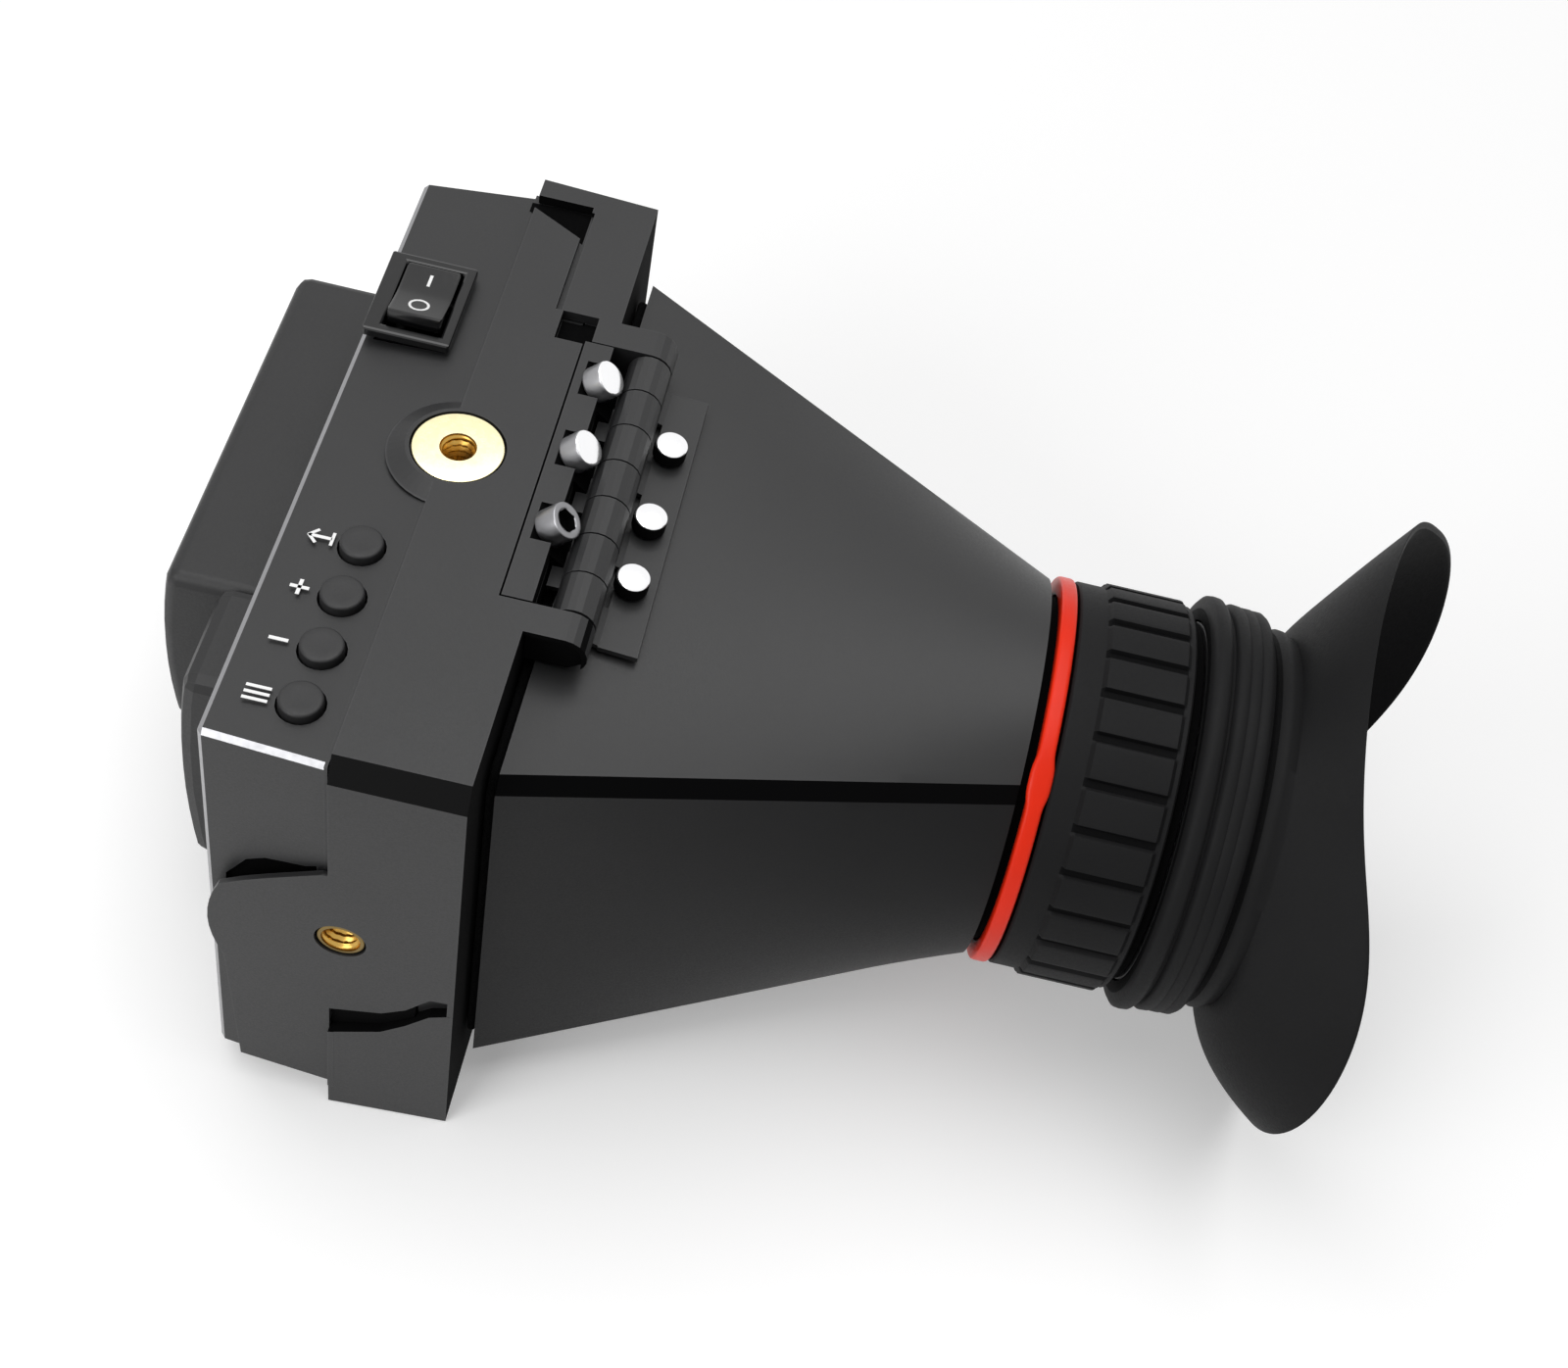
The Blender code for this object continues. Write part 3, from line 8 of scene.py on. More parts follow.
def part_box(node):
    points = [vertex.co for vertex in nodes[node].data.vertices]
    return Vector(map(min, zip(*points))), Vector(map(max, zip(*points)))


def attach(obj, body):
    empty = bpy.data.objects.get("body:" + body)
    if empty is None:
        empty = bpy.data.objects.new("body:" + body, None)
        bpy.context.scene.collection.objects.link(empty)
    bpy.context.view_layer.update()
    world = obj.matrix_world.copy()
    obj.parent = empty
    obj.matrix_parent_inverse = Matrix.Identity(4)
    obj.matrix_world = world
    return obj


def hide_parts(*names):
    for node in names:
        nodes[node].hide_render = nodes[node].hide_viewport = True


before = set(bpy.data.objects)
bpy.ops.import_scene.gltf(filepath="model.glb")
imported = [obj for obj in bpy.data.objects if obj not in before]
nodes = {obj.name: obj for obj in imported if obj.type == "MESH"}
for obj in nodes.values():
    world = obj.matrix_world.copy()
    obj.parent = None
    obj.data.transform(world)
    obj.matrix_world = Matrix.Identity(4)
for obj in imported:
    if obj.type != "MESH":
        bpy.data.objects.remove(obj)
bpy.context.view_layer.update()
print("frame loaded with", len(nodes), "nodes")

axisHeight = 0.049  # optical axis above the frame's underside


# Each input gets its value, or a link where the value is another node's output.
def feed(node, inputs):
    for key, value in inputs.items():
        if isinstance(value, bpy.types.NodeSocket):
            node.id_data.links.new(value, node.inputs[key])
        else:
            node.inputs[key].default_value = value
    return node


def addNode(tree, kind, inputs, **settings):
    node = tree.nodes.new("ShaderNode" + kind)
    for key, value in settings.items():
        setattr(node, key, value)
    return feed(node, inputs)


# Noise from 0 to 1.
def noiseValue(tree, place, scale, detail, roughness):
    return addNode(tree, "TexNoise", {"Vector": place, "Scale": scale, "Detail": detail,
                                      "Roughness": roughness}).outputs["Fac"]


# Straight line from the range fromLow..fromHigh to low..high, held at both ends.
def stretchValue(tree, value, low, high, fromLow=0.3, fromHigh=0.7):
    return addNode(tree, "MapRange", {"Value": value, "From Min": fromLow, "From Max": fromHigh,
                                      "To Min": low, "To Max": high}).outputs["Result"]


# Inputs 6 and 7 and output 2 are the mix node's colours.
def mixColour(tree, factor, first, second):
    return addNode(tree, "Mix", {"Factor": factor, 6: first, 7: second},
                   data_type="RGBA").outputs[2]


wearing = {"radius": 0.0004, "samples": 4, "agree": (0.80, 0.99),
           "colour": (0.25, 0.25, 0.26, 1.0)}


# A broad noise shades the colour, a fine one varies the roughness and raises the grain. Where
# the normal of a slightly rounded copy turns away from the true one, the edge is worn.
def makeFinish(name, look):
    material = bpy.data.materials.new(name)
    material.use_nodes = True
    tree = material.node_tree
    place = addNode(tree, "TexCoord", {}).outputs["Object"]
    broad = noiseValue(tree, place, look.get("mottle", 60.0), detail=3.0, roughness=0.55)
    fine = noiseValue(tree, place, look.get("grain", 1600.0), detail=6.0, roughness=0.65)
    dark = look["colour"]
    light = (min(1.0, channel * look.get("spread", 1.25)) for channel in dark)
    colour = mixColour(tree, stretchValue(tree, broad, 0.0, 1.0), (*dark, 1.0), (*light, 1.0))
    if "wear" in look:
        rounded = addNode(tree, "Bevel", {"Radius": wearing["radius"]},
                          samples=wearing["samples"])
        agree = addNode(tree, "VectorMath", {
            0: rounded.outputs["Normal"],
            1: addNode(tree, "NewGeometry", {}).outputs["Normal"]}, operation="DOT_PRODUCT")
        edge = stretchValue(tree, agree.outputs["Value"], look["wear"], 0.0, *wearing["agree"])
        colour = mixColour(tree, edge, colour, wearing["colour"])
    rough, vary = look["roughness"], look.get("vary", 0.06)
    shader = feed(tree.nodes["Principled BSDF"], {
        "Base Color": colour, "Roughness": stretchValue(tree, fine, rough - vary, rough + vary),
        "Metallic": look.get("metallic", 0.0), "Specular IOR Level": look.get("specular", 0.5),
        "Coat Weight": look.get("coat", 0.0), "Coat Roughness": 0.1,
        "Transmission Weight": look.get("clear", 0.0)})
    if "bump" in look:
        bump = addNode(tree, "Bump", {"Strength": look["bump"], "Height": fine,
                                      "Distance": look.get("height", 0.0001)})
        feed(shader, {"Normal": bump.outputs["Normal"]})
    return material


looks = {
    "satinPaint": {"colour": (0.0090, 0.0091, 0.0096), "roughness": 0.46, "bump": 0.18,
                   "grain": 2600.0, "wear": 0.10, "specular": 0.42},
    # Painted reflection: the frame's long chamfer darker than its paint, for the dark it reflects
    "bandPaint": {"colour": (0.0016, 0.0016, 0.0017), "roughness": 0.55, "bump": 0.12,
                  "grain": 2600.0, "specular": 0.08},
    # Painted shade: near-black matt paint on hollows, gaps, slopes and sides that lie in shade
    "deepBlack": {"colour": (0.0012, 0.0012, 0.0013), "roughness": 0.90, "bump": 0.30,
                  "grain": 1800.0, "specular": 0.05},
    "hoodPaint": {"colour": (0.0085, 0.0086, 0.0090), "roughness": 0.44, "bump": 0.15,
                  "grain": 2600.0, "wear": 0.06, "specular": 0.45},
    # Painted shade on the hood's near and far sides; painted dark reflection on its corner bands
    "hoodSide": {"colour": (0.0066, 0.0066, 0.0070), "roughness": 0.48, "bump": 0.15,
                 "grain": 2600.0, "specular": 0.13},
    "hoodBand": {"colour": (0.0006, 0.0006, 0.0007), "roughness": 0.60, "specular": 0.03,
                 "bump": 0.1, "grain": 2600.0},
    "polishedEdge": {"colour": (0.26, 0.26, 0.27), "roughness": 0.34, "metallic": 1.0,
                     "bump": 0.06, "grain": 900.0, "spread": 1.1},
    "mouldedPlastic": {"colour": (0.0085, 0.0085, 0.0090), "roughness": 0.50, "bump": 0.25,
                       "grain": 2200.0, "wear": 0.08, "specular": 0.40},
    "glossPlastic": {"colour": (0.0030, 0.0030, 0.0033), "roughness": 0.18, "bump": 0.03,
                     "grain": 900.0, "vary": 0.04},
    "rubber": {"colour": (0.0105, 0.0105, 0.0109), "roughness": 0.55, "bump": 0.35,
               "grain": 1800.0, "specular": 0.07, "mottle": 35.0, "spread": 1.35},
    # Painted shade: darker rubber in the grip's grooves, the cup's groove and inside the cup
    "rubberDark": {"colour": (0.0028, 0.0028, 0.0030), "roughness": 0.70, "bump": 0.35,
                   "grain": 1800.0, "specular": 0.05},
    "foam": {"colour": (0.0040, 0.0040, 0.0042), "roughness": 0.95, "bump": 0.9,
             "grain": 1500.0, "height": 0.0004, "specular": 0.08, "vary": 0.03},
    "brass": {"colour": (0.93, 0.84, 0.52), "roughness": 0.26, "metallic": 1.0, "bump": 0.05,
              "grain": 700.0, "spread": 1.06},
    # Painted shade: darker brass in the thread holes and on the recessed side flange
    "brassThread": {"colour": (0.45, 0.28, 0.07), "roughness": 0.30, "metallic": 1.0,
                    "bump": 0.08, "grain": 700.0, "spread": 1.2},
    "brassBore": {"colour": (0.16, 0.11, 0.035), "roughness": 0.34, "metallic": 1.0,
                  "bump": 0.08, "grain": 700.0, "spread": 1.3},
    "chrome": {"colour": (0.93, 0.93, 0.94), "roughness": 0.14, "metallic": 1.0, "bump": 0.02,
               "grain": 500.0, "spread": 1.04, "vary": 0.04},
    "steel": {"colour": (0.52, 0.52, 0.53), "roughness": 0.28, "metallic": 1.0, "bump": 0.08,
              "grain": 900.0},
    "screwBlack": {"colour": (0.0045, 0.0045, 0.0048), "roughness": 0.34, "bump": 0.1,
                   "grain": 1500.0},
    "screwSatin": {"colour": (0.30, 0.30, 0.31), "roughness": 0.34, "metallic": 0.85,
                   "bump": 0.1, "grain": 1500.0},
    "orangeRed": {"colour": (0.74, 0.024, 0.005), "roughness": 0.34, "bump": 0.12,
                  "grain": 1100.0, "spread": 1.15, "specular": 0.18},
    "whitePrint": {"colour": (0.86, 0.86, 0.86), "roughness": 0.45, "bump": 0.1,
                   "grain": 1800.0, "spread": 1.05},
    "displayGlass": {"colour": (0.90, 0.94, 0.95), "roughness": 0.04, "clear": 0.9,
                     "vary": 0.01, "spread": 1.02},
    "displayPanel": {"colour": (0.0050, 0.0052, 0.0070), "roughness": 0.12, "vary": 0.03,
                     "coat": 0.5, "spread": 1.4},
    "boardGreen": {"colour": (0.010, 0.075, 0.028), "roughness": 0.42, "bump": 0.3,
                   "grain": 420.0, "spread": 1.8, "mottle": 240.0},
}
finishes = {name: makeFinish(name, look) for name, look in looks.items()}
print("finishes made:", len(finishes))


def addPiece(name, mesh, finish, body, standsFor=()):
    mesh.name = name
    piece = bpy.data.objects.new(name, mesh)
    bpy.context.scene.collection.objects.link(piece)
    for oneFinish in finish.split():
        mesh.materials.append(finishes[oneFinish])
    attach(piece, body)
    if standsFor:
        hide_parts(*standsFor)
    return piece


# Doubled points are joined, faces point outwards, and edges sharper than an angle stay hard.
def closeUp(mesh, smoothAngle=35.0):
    shape = bmesh.new()
    shape.from_mesh(mesh)
    bmesh.ops.remove_doubles(shape, verts=shape.verts, dist=1e-7)
    bmesh.ops.dissolve_degenerate(shape, dist=1e-7, edges=shape.edges)
    bmesh.ops.recalc_face_normals(shape, faces=shape.faces)
    shape.to_mesh(mesh)
    shape.free()
    mesh.shade_smooth()
    mesh.set_sharp_from_angle(angle=math.radians(smoothAngle))
    return mesh


# Quads between neighbours in a rows x columns array of points; pick gives each quad's
# finish number from its row and column.
def gridMesh(points, loopRows=False, smoothAngle=35.0, pick=None):
    rows, columns = points.shape[:2]
    row, column = np.meshgrid(np.arange(rows if loopRows else rows - 1),
                              np.arange(columns), indexing="ij")
    nextRow, nextColumn = (row + 1) % rows, (column + 1) % columns
    quads = np.stack([row * columns + column, row * columns + nextColumn,
                      nextRow * columns + nextColumn, nextRow * columns + column], -1)
    mesh = bpy.data.meshes.new("grid")
    mesh.from_pydata(points.reshape(-1, 3), [], quads.reshape(-1, 4))
    if pick is not None:
        mesh.polygons.foreach_set("material_index", pick(row, column).astype(np.int32).ravel())
    return closeUp(mesh, smoothAngle)


# Rounds each corner of an outline: it gives way to a parabola between the two points a
# radius away along its sides, never past the middle of a side.
def softLoop(corners, radius, steps=4, closed=True):
    corner = np.asarray(corners, float)
    sides = [np.roll(corner, 1, 0) - corner, np.roll(corner, -1, 0) - corner]
    lengths = [np.linalg.norm(side, axis=1)[:, None] for side in sides]
    start, end = (corner + side / length * np.minimum(radius, length * 0.45)
                  for side, length in zip(sides, lengths))
    t = np.linspace(0.0, 1.0, steps + 1)[None, :, None]
    curve = (start[:, None] * (1 - t) ** 2 + 2 * corner[:, None] * t * (1 - t)
             + end[:, None] * t ** 2)
    if closed:
        return curve.reshape(-1, corner.shape[1])
    return np.concatenate([corner[:1], curve[1:-1].reshape(-1, corner.shape[1]), corner[-1:]])


# Local points, whose Z is the axis, turned so that Z runs along a direction and moved to base.
def placeAlong(points, base, axis):
    turn = np.array(Vector(axis).to_track_quat("Z", "Y").to_matrix())
    return points @ turn.T + np.asarray(base, float)


# Each (along, radius) pair of a profile swept once round the axis.
def turnPoints(profile, sides):
    profile = np.asarray(profile, float)
    angle = np.linspace(0, 2 * np.pi, sides, endpoint=False)[None]
    along = np.repeat(profile[:, :1], sides, 1)
    radius = profile[:, 1:2]
    return np.stack([radius * np.cos(angle), radius * np.sin(angle), along], -1)


def turnedMesh(profile, base, axis, sides=96, loop=False, smoothAngle=35.0, pick=None):
    return gridMesh(placeAlong(turnPoints(profile, sides), base, axis), loopRows=loop,
                    smoothAngle=smoothAngle, pick=pick)


# A drum from base along an axis with soft rims, its far end raised to a low cone.
def drumMesh(radius, length, soft, base, axis, sides=40, steps=4, rise=0.0):
    outline = softLoop([(0, 0), (0, radius), (length - rise, radius), (length, 0)], soft, steps,
                       closed=False)
    return turnedMesh(outline, base, axis, sides)


# A closed outline of (y, radius) corners, softened and turned about the optical axis.
def opticalRing(corners, soft, sides=160):
    outline = softLoop(corners, soft)
    outline[:, 0] *= -1.0
    return turnedMesh(outline, (0, 0, axisHeight), (0, -1, 0), sides, loop=True)


# Points on rings about the optical axis, from arrays of y and radius by angle.
def aroundAxis(y, radius, angle):
    y, radius, angle = np.broadcast_arrays(y, radius, angle)
    return np.stack([radius * np.cos(angle), y, axisHeight + radius * np.sin(angle)], -1)


# A solid strip between two lines of points, with a thickness given as a vector.
def stripMesh(firstLine, secondLine, thickness):
    first, second = np.asarray(firstLine, float), np.asarray(secondLine, float)
    loop = np.stack([first, second, second + thickness, first + thickness], 1)
    caps = [np.repeat(loop[end].mean(0)[None, None], 4, 1) for end in (0, -1)]
    return gridMesh(np.concatenate([caps[0], loop, caps[1]]), smoothAngle=30.0)


soften = {"weld": 2e-6, "flatTurn": 1.0, "flatArea": 4e-6, "smoothTurn": 35.0, "edgeTurn": 30.0,
          "segments": 2, "weight": 90}


# A copy of the CAD node with its triangles merged into flat faces and its edges rounded;
# faces over 4 square millimetres stay flat, and pick gives each face's finish number from
# its normal and middle. With edge 0 the edges stay and all that turns gently is smooth.
def softCopy(node, body, finish, edge, pick=None):
    mesh = nodes[node].data.copy()
    mesh.materials.clear()
    shape = bmesh.new()
    shape.from_mesh(mesh)
    bmesh.ops.remove_doubles(shape, verts=shape.verts, dist=soften["weld"])
    bmesh.ops.dissolve_limit(shape, angle_limit=math.radians(soften["flatTurn"]),
                             verts=shape.verts, edges=shape.edges)
    shape.to_mesh(mesh)
    shape.free()
    if pick is not None:
        normal, middle = np.zeros(len(mesh.polygons) * 3), np.zeros(len(mesh.polygons) * 3)
        mesh.polygons.foreach_get("normal", normal)
        mesh.polygons.foreach_get("center", middle)
        mesh.polygons.foreach_set("material_index", pick(
            normal.reshape(-1, 3), middle.reshape(-1, 3)).astype(np.int32))
    areas = np.zeros(len(mesh.polygons))
    mesh.polygons.foreach_get("area", areas)
    mesh.polygons.foreach_set("use_smooth", (areas < soften["flatArea"]) | (edge == 0.0))
    if edge == 0.0:
        mesh.set_sharp_from_angle(angle=math.radians(soften["smoothTurn"]))
    piece = addPiece(node + "_soft", mesh, finish, body, (node,))
    if edge > 0.0:
        bevel = piece.modifiers.new("edge", "BEVEL")
        bevel.width = edge
        bevel.segments = soften["segments"]
        bevel.limit_method = "ANGLE"
        bevel.angle_limit = math.radians(soften["edgeTurn"])
    flatten = piece.modifiers.new("flatten", "WEIGHTED_NORMAL")
    flatten.weight = soften["weight"]
    flatten.keep_sharp = True
    return piece


def nodeMiddle(node):
    low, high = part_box(node)
    return (low + high) / 2


# True where points lie in a box given by its two corners in millimetres.
def inBox(points, low, high):
    return ((points * 1000 > low) & (points * 1000 < high)).all(-1)


shell = {"frameEdge": 0.00035, "housingEdge": 0.00012, "coverEdge": 0.0003, "leafEdge": 0.0002,
         "plateEdge": 0.0003, "bezelEdge": 0.0004, "socketEdge": 0.0001,
         "backOfFrame": 0.0104, "hollowFloor": -0.0602, "leafBarrel": -0.0120}
# Boxes in millimetres round the faces that are painted matt black as painted shade
dark = {"notch": ((50, 0, 93), (60.2, 12, 95.9)), "pocket": ((26, -7.5, 93), (34.2, 0, 95.9)),
        "slot": ((-64.1, -9.6, 22), (-60, 9.8, 41)),
        "ear": ((-32.5, -19.2, 85), (-27, -10.2, 95.2)),
        "front": ((-65, -10.5, -1), (65, -9.0, 97)), "ledge": ((-61.9, 11, 48), (-57, 28, 71))}


# 1 on the long chamfer, as a painted dark reflection; 2, as painted shade, in the notch, the
# pocket, the side slot and the hollow ear and on the front face, which the hood's foam covers.
def frameShade(normal, middle):
    x, y, z = normal.T
    number = ((x < -0.8) & (z > 0.35)).astype(int)
    for zone, faces in (("notch", True), ("pocket", True), ("slot", x > -0.9),
                        ("ear", x < 0.5), ("front", y < -0.9)):
        number[inBox(middle, *dark[zone]) & faces] = 2
    return number


# 1 on the narrow bevels along the top back, near top and near back edges, 2 in the hollow
# over the bracket plate, as painted shade in matt black.
def housingEdgeAndShade(normal, middle):
    steep = np.sort(np.abs(normal), axis=1)
    bevelled = (steep[:, 1] > 0.45) & (steep[:, 2] < 0.88) & (middle[:, 1] > shell["backOfFrame"])
    x, y, z = normal.T
    shown = ((z > 0.4) & (x < 0.4)) | ((x < -0.4) & (y > 0.4))
    number = (bevelled & shown).astype(int)
    inside = (x > -0.99) | (middle[:, 0] > shell["hollowFloor"])
    number[inBox(middle, *dark["ledge"]) & inside] = 2
    return number


# 1 on the leaf's slopes and sides round the screws, apart from its barrel, as painted shade.
def slopeShade(normal, middle):
    return ((normal[:, 2] < 0.95) & (middle[:, 1] > shell["leafBarrel"])).astype(int)


softCopy("mounting_frame", "screen_unit", "satinPaint bandPaint deepBlack",
         shell["frameEdge"], frameShade)
softCopy("rear_housing", "screen_unit", "satinPaint polishedEdge deepBlack",
         shell["housingEdge"], housingEdgeAndShade)
softCopy("back_cover", "screen_unit", "satinPaint", shell["coverEdge"])
softCopy("battery_plate", "screen_unit", "mouldedPlastic", shell["plateEdge"])
softCopy("hinge_leaf_frame", "screen_unit", "satinPaint deepBlack",
         shell["leafEdge"], slopeShade)
softCopy("hinge_leaf_hood", "hood", "hoodPaint", shell["leafEdge"])
softCopy("switch_bezel", "screen_unit", "glossPlastic",
         shell["bezelEdge"])
softCopy("video_socket", "screen_unit", "steel", shell["socketEdge"])
softCopy("battery_pack", "battery", "mouldedPlastic", 0.0)

# Painted shade: matt black sheets on the floors of the frame's two top openings and near slot
recess = {"notch": (0.0516, 0.0578, 0.0599, 0.0006, 0.0110),
          "pocket": (0.0273, 0.0337, -0.0072, -0.0004),
          "floor": 0.09402, "thick": 0.00012, "slotX": -0.06222,
          "slotY": (0.0099, 0.0015, -0.0024, -0.0037),
          "slotLow": (0.0232, 0.0263, 0.0296, 0.0310),
          "slotHigh": (0.0296, 0.0318, 0.0345, 0.0365)}
left, mid, right, front, back = recess["notch"]
floorZ, lift = recess["floor"], (0, 0, recess["thick"])
addPiece("notch_shade_floor", stripMesh([(left, front, floorZ), (mid, back, floorZ)],
                                  [(right, front, floorZ), (right, back, floorZ)], lift),
         "deepBlack", "screen_unit")
left, right, front, back = recess["pocket"]
addPiece("pocket_shade_floor", stripMesh([(left, front, floorZ), (left, back, floorZ)],
                                   [(right, front, floorZ), (right, back, floorZ)], lift),
         "deepBlack", "screen_unit")
slotLines = [np.stack([np.full(4, recess["slotX"]), recess["slotY"], recess[level]], -1)
             for level in ("slotLow", "slotHigh")]
addPiece("slot_shade_floor", stripMesh(*slotLines, (recess["thick"], 0, 0)), "deepBlack",
         "screen_unit")

# Painted shade: a black plug closes the hollow of the near hinge ear
plug = {"x": -0.0316, "thick": 0.0006, "y": (-0.0103, -0.0170, -0.0190),
        "low": (0.0889, 0.0889, 0.0905), "high": (0.0949, 0.0949, 0.0938)}
plugLines = [np.stack([np.full(3, plug["x"]), plug["y"], plug[level]], -1)
             for level in ("low", "high")]
addPiece("ear_shade_plug", stripMesh(*plugLines, (plug["thick"], 0, 0)), "deepBlack", "screen_unit")
print("frame, housing and plates softened")

# The screen's three layers keep their shapes
for node, finish in (("screen_glass", "displayGlass"), ("display_panel", "displayPanel"),
                     ("circuit_board", "boardGreen")):
    nodes[node].data.materials.clear()
    nodes[node].data.materials.append(finishes[finish])

hood = {"halfWidth": 0.055, "halfHeight": 0.0395, "base": -0.0121, "length": 0.0762,
        "endRadius": 0.0325, "chamfer": 0.0023, "baseWall": 0.0050, "endWall": 0.0024,
        "stations": 48, "sidePoints": 33}


# Each ring is a chamfered rectangle at share 0 and a circle at share 1, and every point runs
# straight between its two places: flat + (rounded - flat) x share.
def hoodSection(share, inset, size):
    halfX, halfZ, chamfer = size["halfWidth"] - inset, size["halfHeight"] - inset, size["chamfer"]
    radius = size["endRadius"] - inset
    spread = math.degrees(chamfer * math.sqrt(2) / size["endRadius"]) / 2
    t = np.linspace(0.0, 1.0, size["sidePoints"])[None, :]
    rings = []
    sides = (((1, -1), (1, 1), -45, True), ((1, 1), (-1, 1), 45, False),
             ((-1, 1), (-1, -1), 135, True), ((-1, -1), (1, -1), 225, False))
    for start, end, turn, upright in sides:
        inX, inZ = (0.0, chamfer) if upright else (chamfer, 0.0)
        a = np.stack([start[0] * (halfX - inX), start[1] * (halfZ - inZ)], -1)
        b = np.stack([end[0] * (halfX - inX), end[1] * (halfZ - inZ)], -1)
        flat = a[:, None, :] + (b - a)[:, None, :] * t[..., None]
        angle = np.radians(turn + spread + (90 - 2 * spread) * t)
        rounded = radius[:, None, None] * np.stack([np.cos(angle), np.sin(angle)], -1)
        rings.append(flat + (rounded - flat) * share[:, None, None])
    return np.concatenate(rings, 1)


# The outer skin from base to ring and the inner one back again, a wall's thickness inside.
def hoodSurface(size):
    share = np.linspace(0.0, 1.0, size["stations"])
    wall = size["baseWall"] + (size["endWall"] - size["baseWall"]) * share
    layers = []
    for inset, order in ((share * 0.0, 1), (wall, -1)):
        section = hoodSection(share, inset, size)
        y = np.repeat((size["base"] - size["length"] * share)[:, None], section.shape[1], 1)
        layers.append(np.stack([section[..., 0], y, axisHeight + section[..., 1]], -1)[::order])
    return np.concatenate(layers, 0)


# 1 on the outer quads between two sides, where the corner bands run, as a painted dark
# reflection; 2 on the near and far sides, as painted shade.
def hoodBandFinish(row, column):
    onBand = (column % hood["sidePoints"] == hood["sidePoints"] - 1) & (row < hood["stations"] - 1)
    return np.where(onBand, 1, np.where(column // hood["sidePoints"] % 2 == 0, 2, 0))


addPiece("hood_surface", gridMesh(hoodSurface(hood), loopRows=True, smoothAngle=20.0,
                                  pick=hoodBandFinish), "hoodPaint hoodBand hoodSide", "hood",
         ("hood_shell",))

seal = {"inset": 0.0022, "breadth": 0.0024, "front": -0.0103, "thickness": 0.0015,
        "roundShare": 0.35, "sidePoints": 60}


# A soft rounded loop carried round the hood's base outline.
def sealSurface(size):
    loop = softLoop([(0.0, 0.0), (0.0, 1.0), (1.0, 1.0), (1.0, 0.0)], size["roundShare"], 4)
    inset = size["inset"] + size["breadth"] * loop[:, 0]
    ring = hoodSection(np.zeros(len(loop)), inset, {**hood, "sidePoints": size["sidePoints"]})
    y = np.repeat((size["front"] - size["thickness"] * loop[:, 1])[:, None], ring.shape[1], 1)
    return np.stack([ring[..., 0], y, axisHeight + ring[..., 1]], -1)


sealPiece = addPiece("foam_seal", gridMesh(sealSurface(seal), loopRows=True, smoothAngle=60.0),
                     "foam", "hood", ("light_seal",))
print("hood and seal made")

barrel = {"start": -0.0823, "end": -0.1142, "lip": -0.1128, "outer": 0.0296, "inner": 0.0272,
          "lipRadius": 0.0310, "soft": 0.0003}
# The barrel is matt black as painted shade, for the dark gap beside the rings
addPiece("barrel_tube", opticalRing([
    (barrel["start"], barrel["inner"]), (barrel["start"], barrel["outer"]),
    (barrel["lip"], barrel["outer"]), (barrel["lip"], barrel["lipRadius"]),
    (barrel["end"], barrel["lipRadius"]), (barrel["end"], barrel["inner"])], barrel["soft"]),
    "deepBlack", "hood", ("lens_barrel",))

marker = {"start": -0.0899, "end": -0.0926, "radius": 0.0332, "inner": 0.0299, "soft": 0.0007,
          "bumpAngle": 130.0, "bumpSpread": 6.0, "bumpWider": 0.40}


# A rounded band; at one angle it is wider by a share that falls off as exp(-(away/spread)^4).
def markerSurface(size):
    loop = softLoop([(size["start"], size["inner"]), (size["start"], size["radius"]),
                     (size["end"], size["radius"]), (size["end"], size["inner"])],
                    size["soft"], 5)
    angle = np.linspace(0, 2 * np.pi, 240, endpoint=False)[None]
    away = (np.degrees(angle) - size["bumpAngle"] + 180) % 360 - 180
    swell = np.exp(-(away / size["bumpSpread"]) ** 4)
    middle = (size["start"] + size["end"]) / 2
    outer = loop[:, 1:2] > size["inner"] + size["soft"]
    y = middle + (loop[:, :1] - middle) * (1.0 + size["bumpWider"] * swell * outer)
    return aroundAxis(np.maximum(y, barrel["lip"]), loop[:, 1:2], angle)


addPiece("marker_band", gridMesh(markerSurface(marker), loopRows=True), "orangeRed", "hood",
         ("red_marker_ring",))

focus = {"start": -0.0931, "end": -0.1125, "radius": 0.0330, "wall": 0.0030, "ribs": 28,
         "ribHeight": 0.0008, "ribStart": 0.0046, "ribEnd": 0.0010, "ramp": 0.0007,
         "share": 0.79, "edge": 0.06, "round": 0.0004, "ribPoints": 20, "rows": 60}


# Radius = ring radius - rounded ends + rib height x a soft square wave round the ring x a
# soft window along it; the inner wall is plain.
def focusSurface(size):
    angle = np.linspace(0, 2 * np.pi, size["ribs"] * size["ribPoints"], endpoint=False)[None]
    along = np.linspace(0.0, size["start"] - size["end"], size["rows"])[:, None]
    phase = (angle * size["ribs"] / (2 * np.pi)) % 1.0
    wave = (np.clip(phase / size["edge"], 0, 1)
            - np.clip((phase - size["share"]) / size["edge"], 0, 1))
    window = (np.clip((along - size["ribStart"]) / size["ramp"], 0, 1)
              * np.clip((along[-1] - size["ribEnd"] - along) / size["ramp"], 0, 1))
    nearEnd = np.clip(np.minimum(along, along[-1] - along) / size["round"], 0, 1)
    rounding = size["round"] * (1 - np.sqrt(1 - (1 - nearEnd) ** 2))
    rib = size["ribHeight"] * window ** 2 * (3 - 2 * window) * wave ** 2 * (3 - 2 * wave)
    outer = aroundAxis(size["start"] - along, size["radius"] - rounding + rib, angle)
    inner = aroundAxis(np.array([[size["end"]], [size["start"]]]),
                       size["radius"] - size["wall"], angle)
    return np.concatenate([outer, inner])


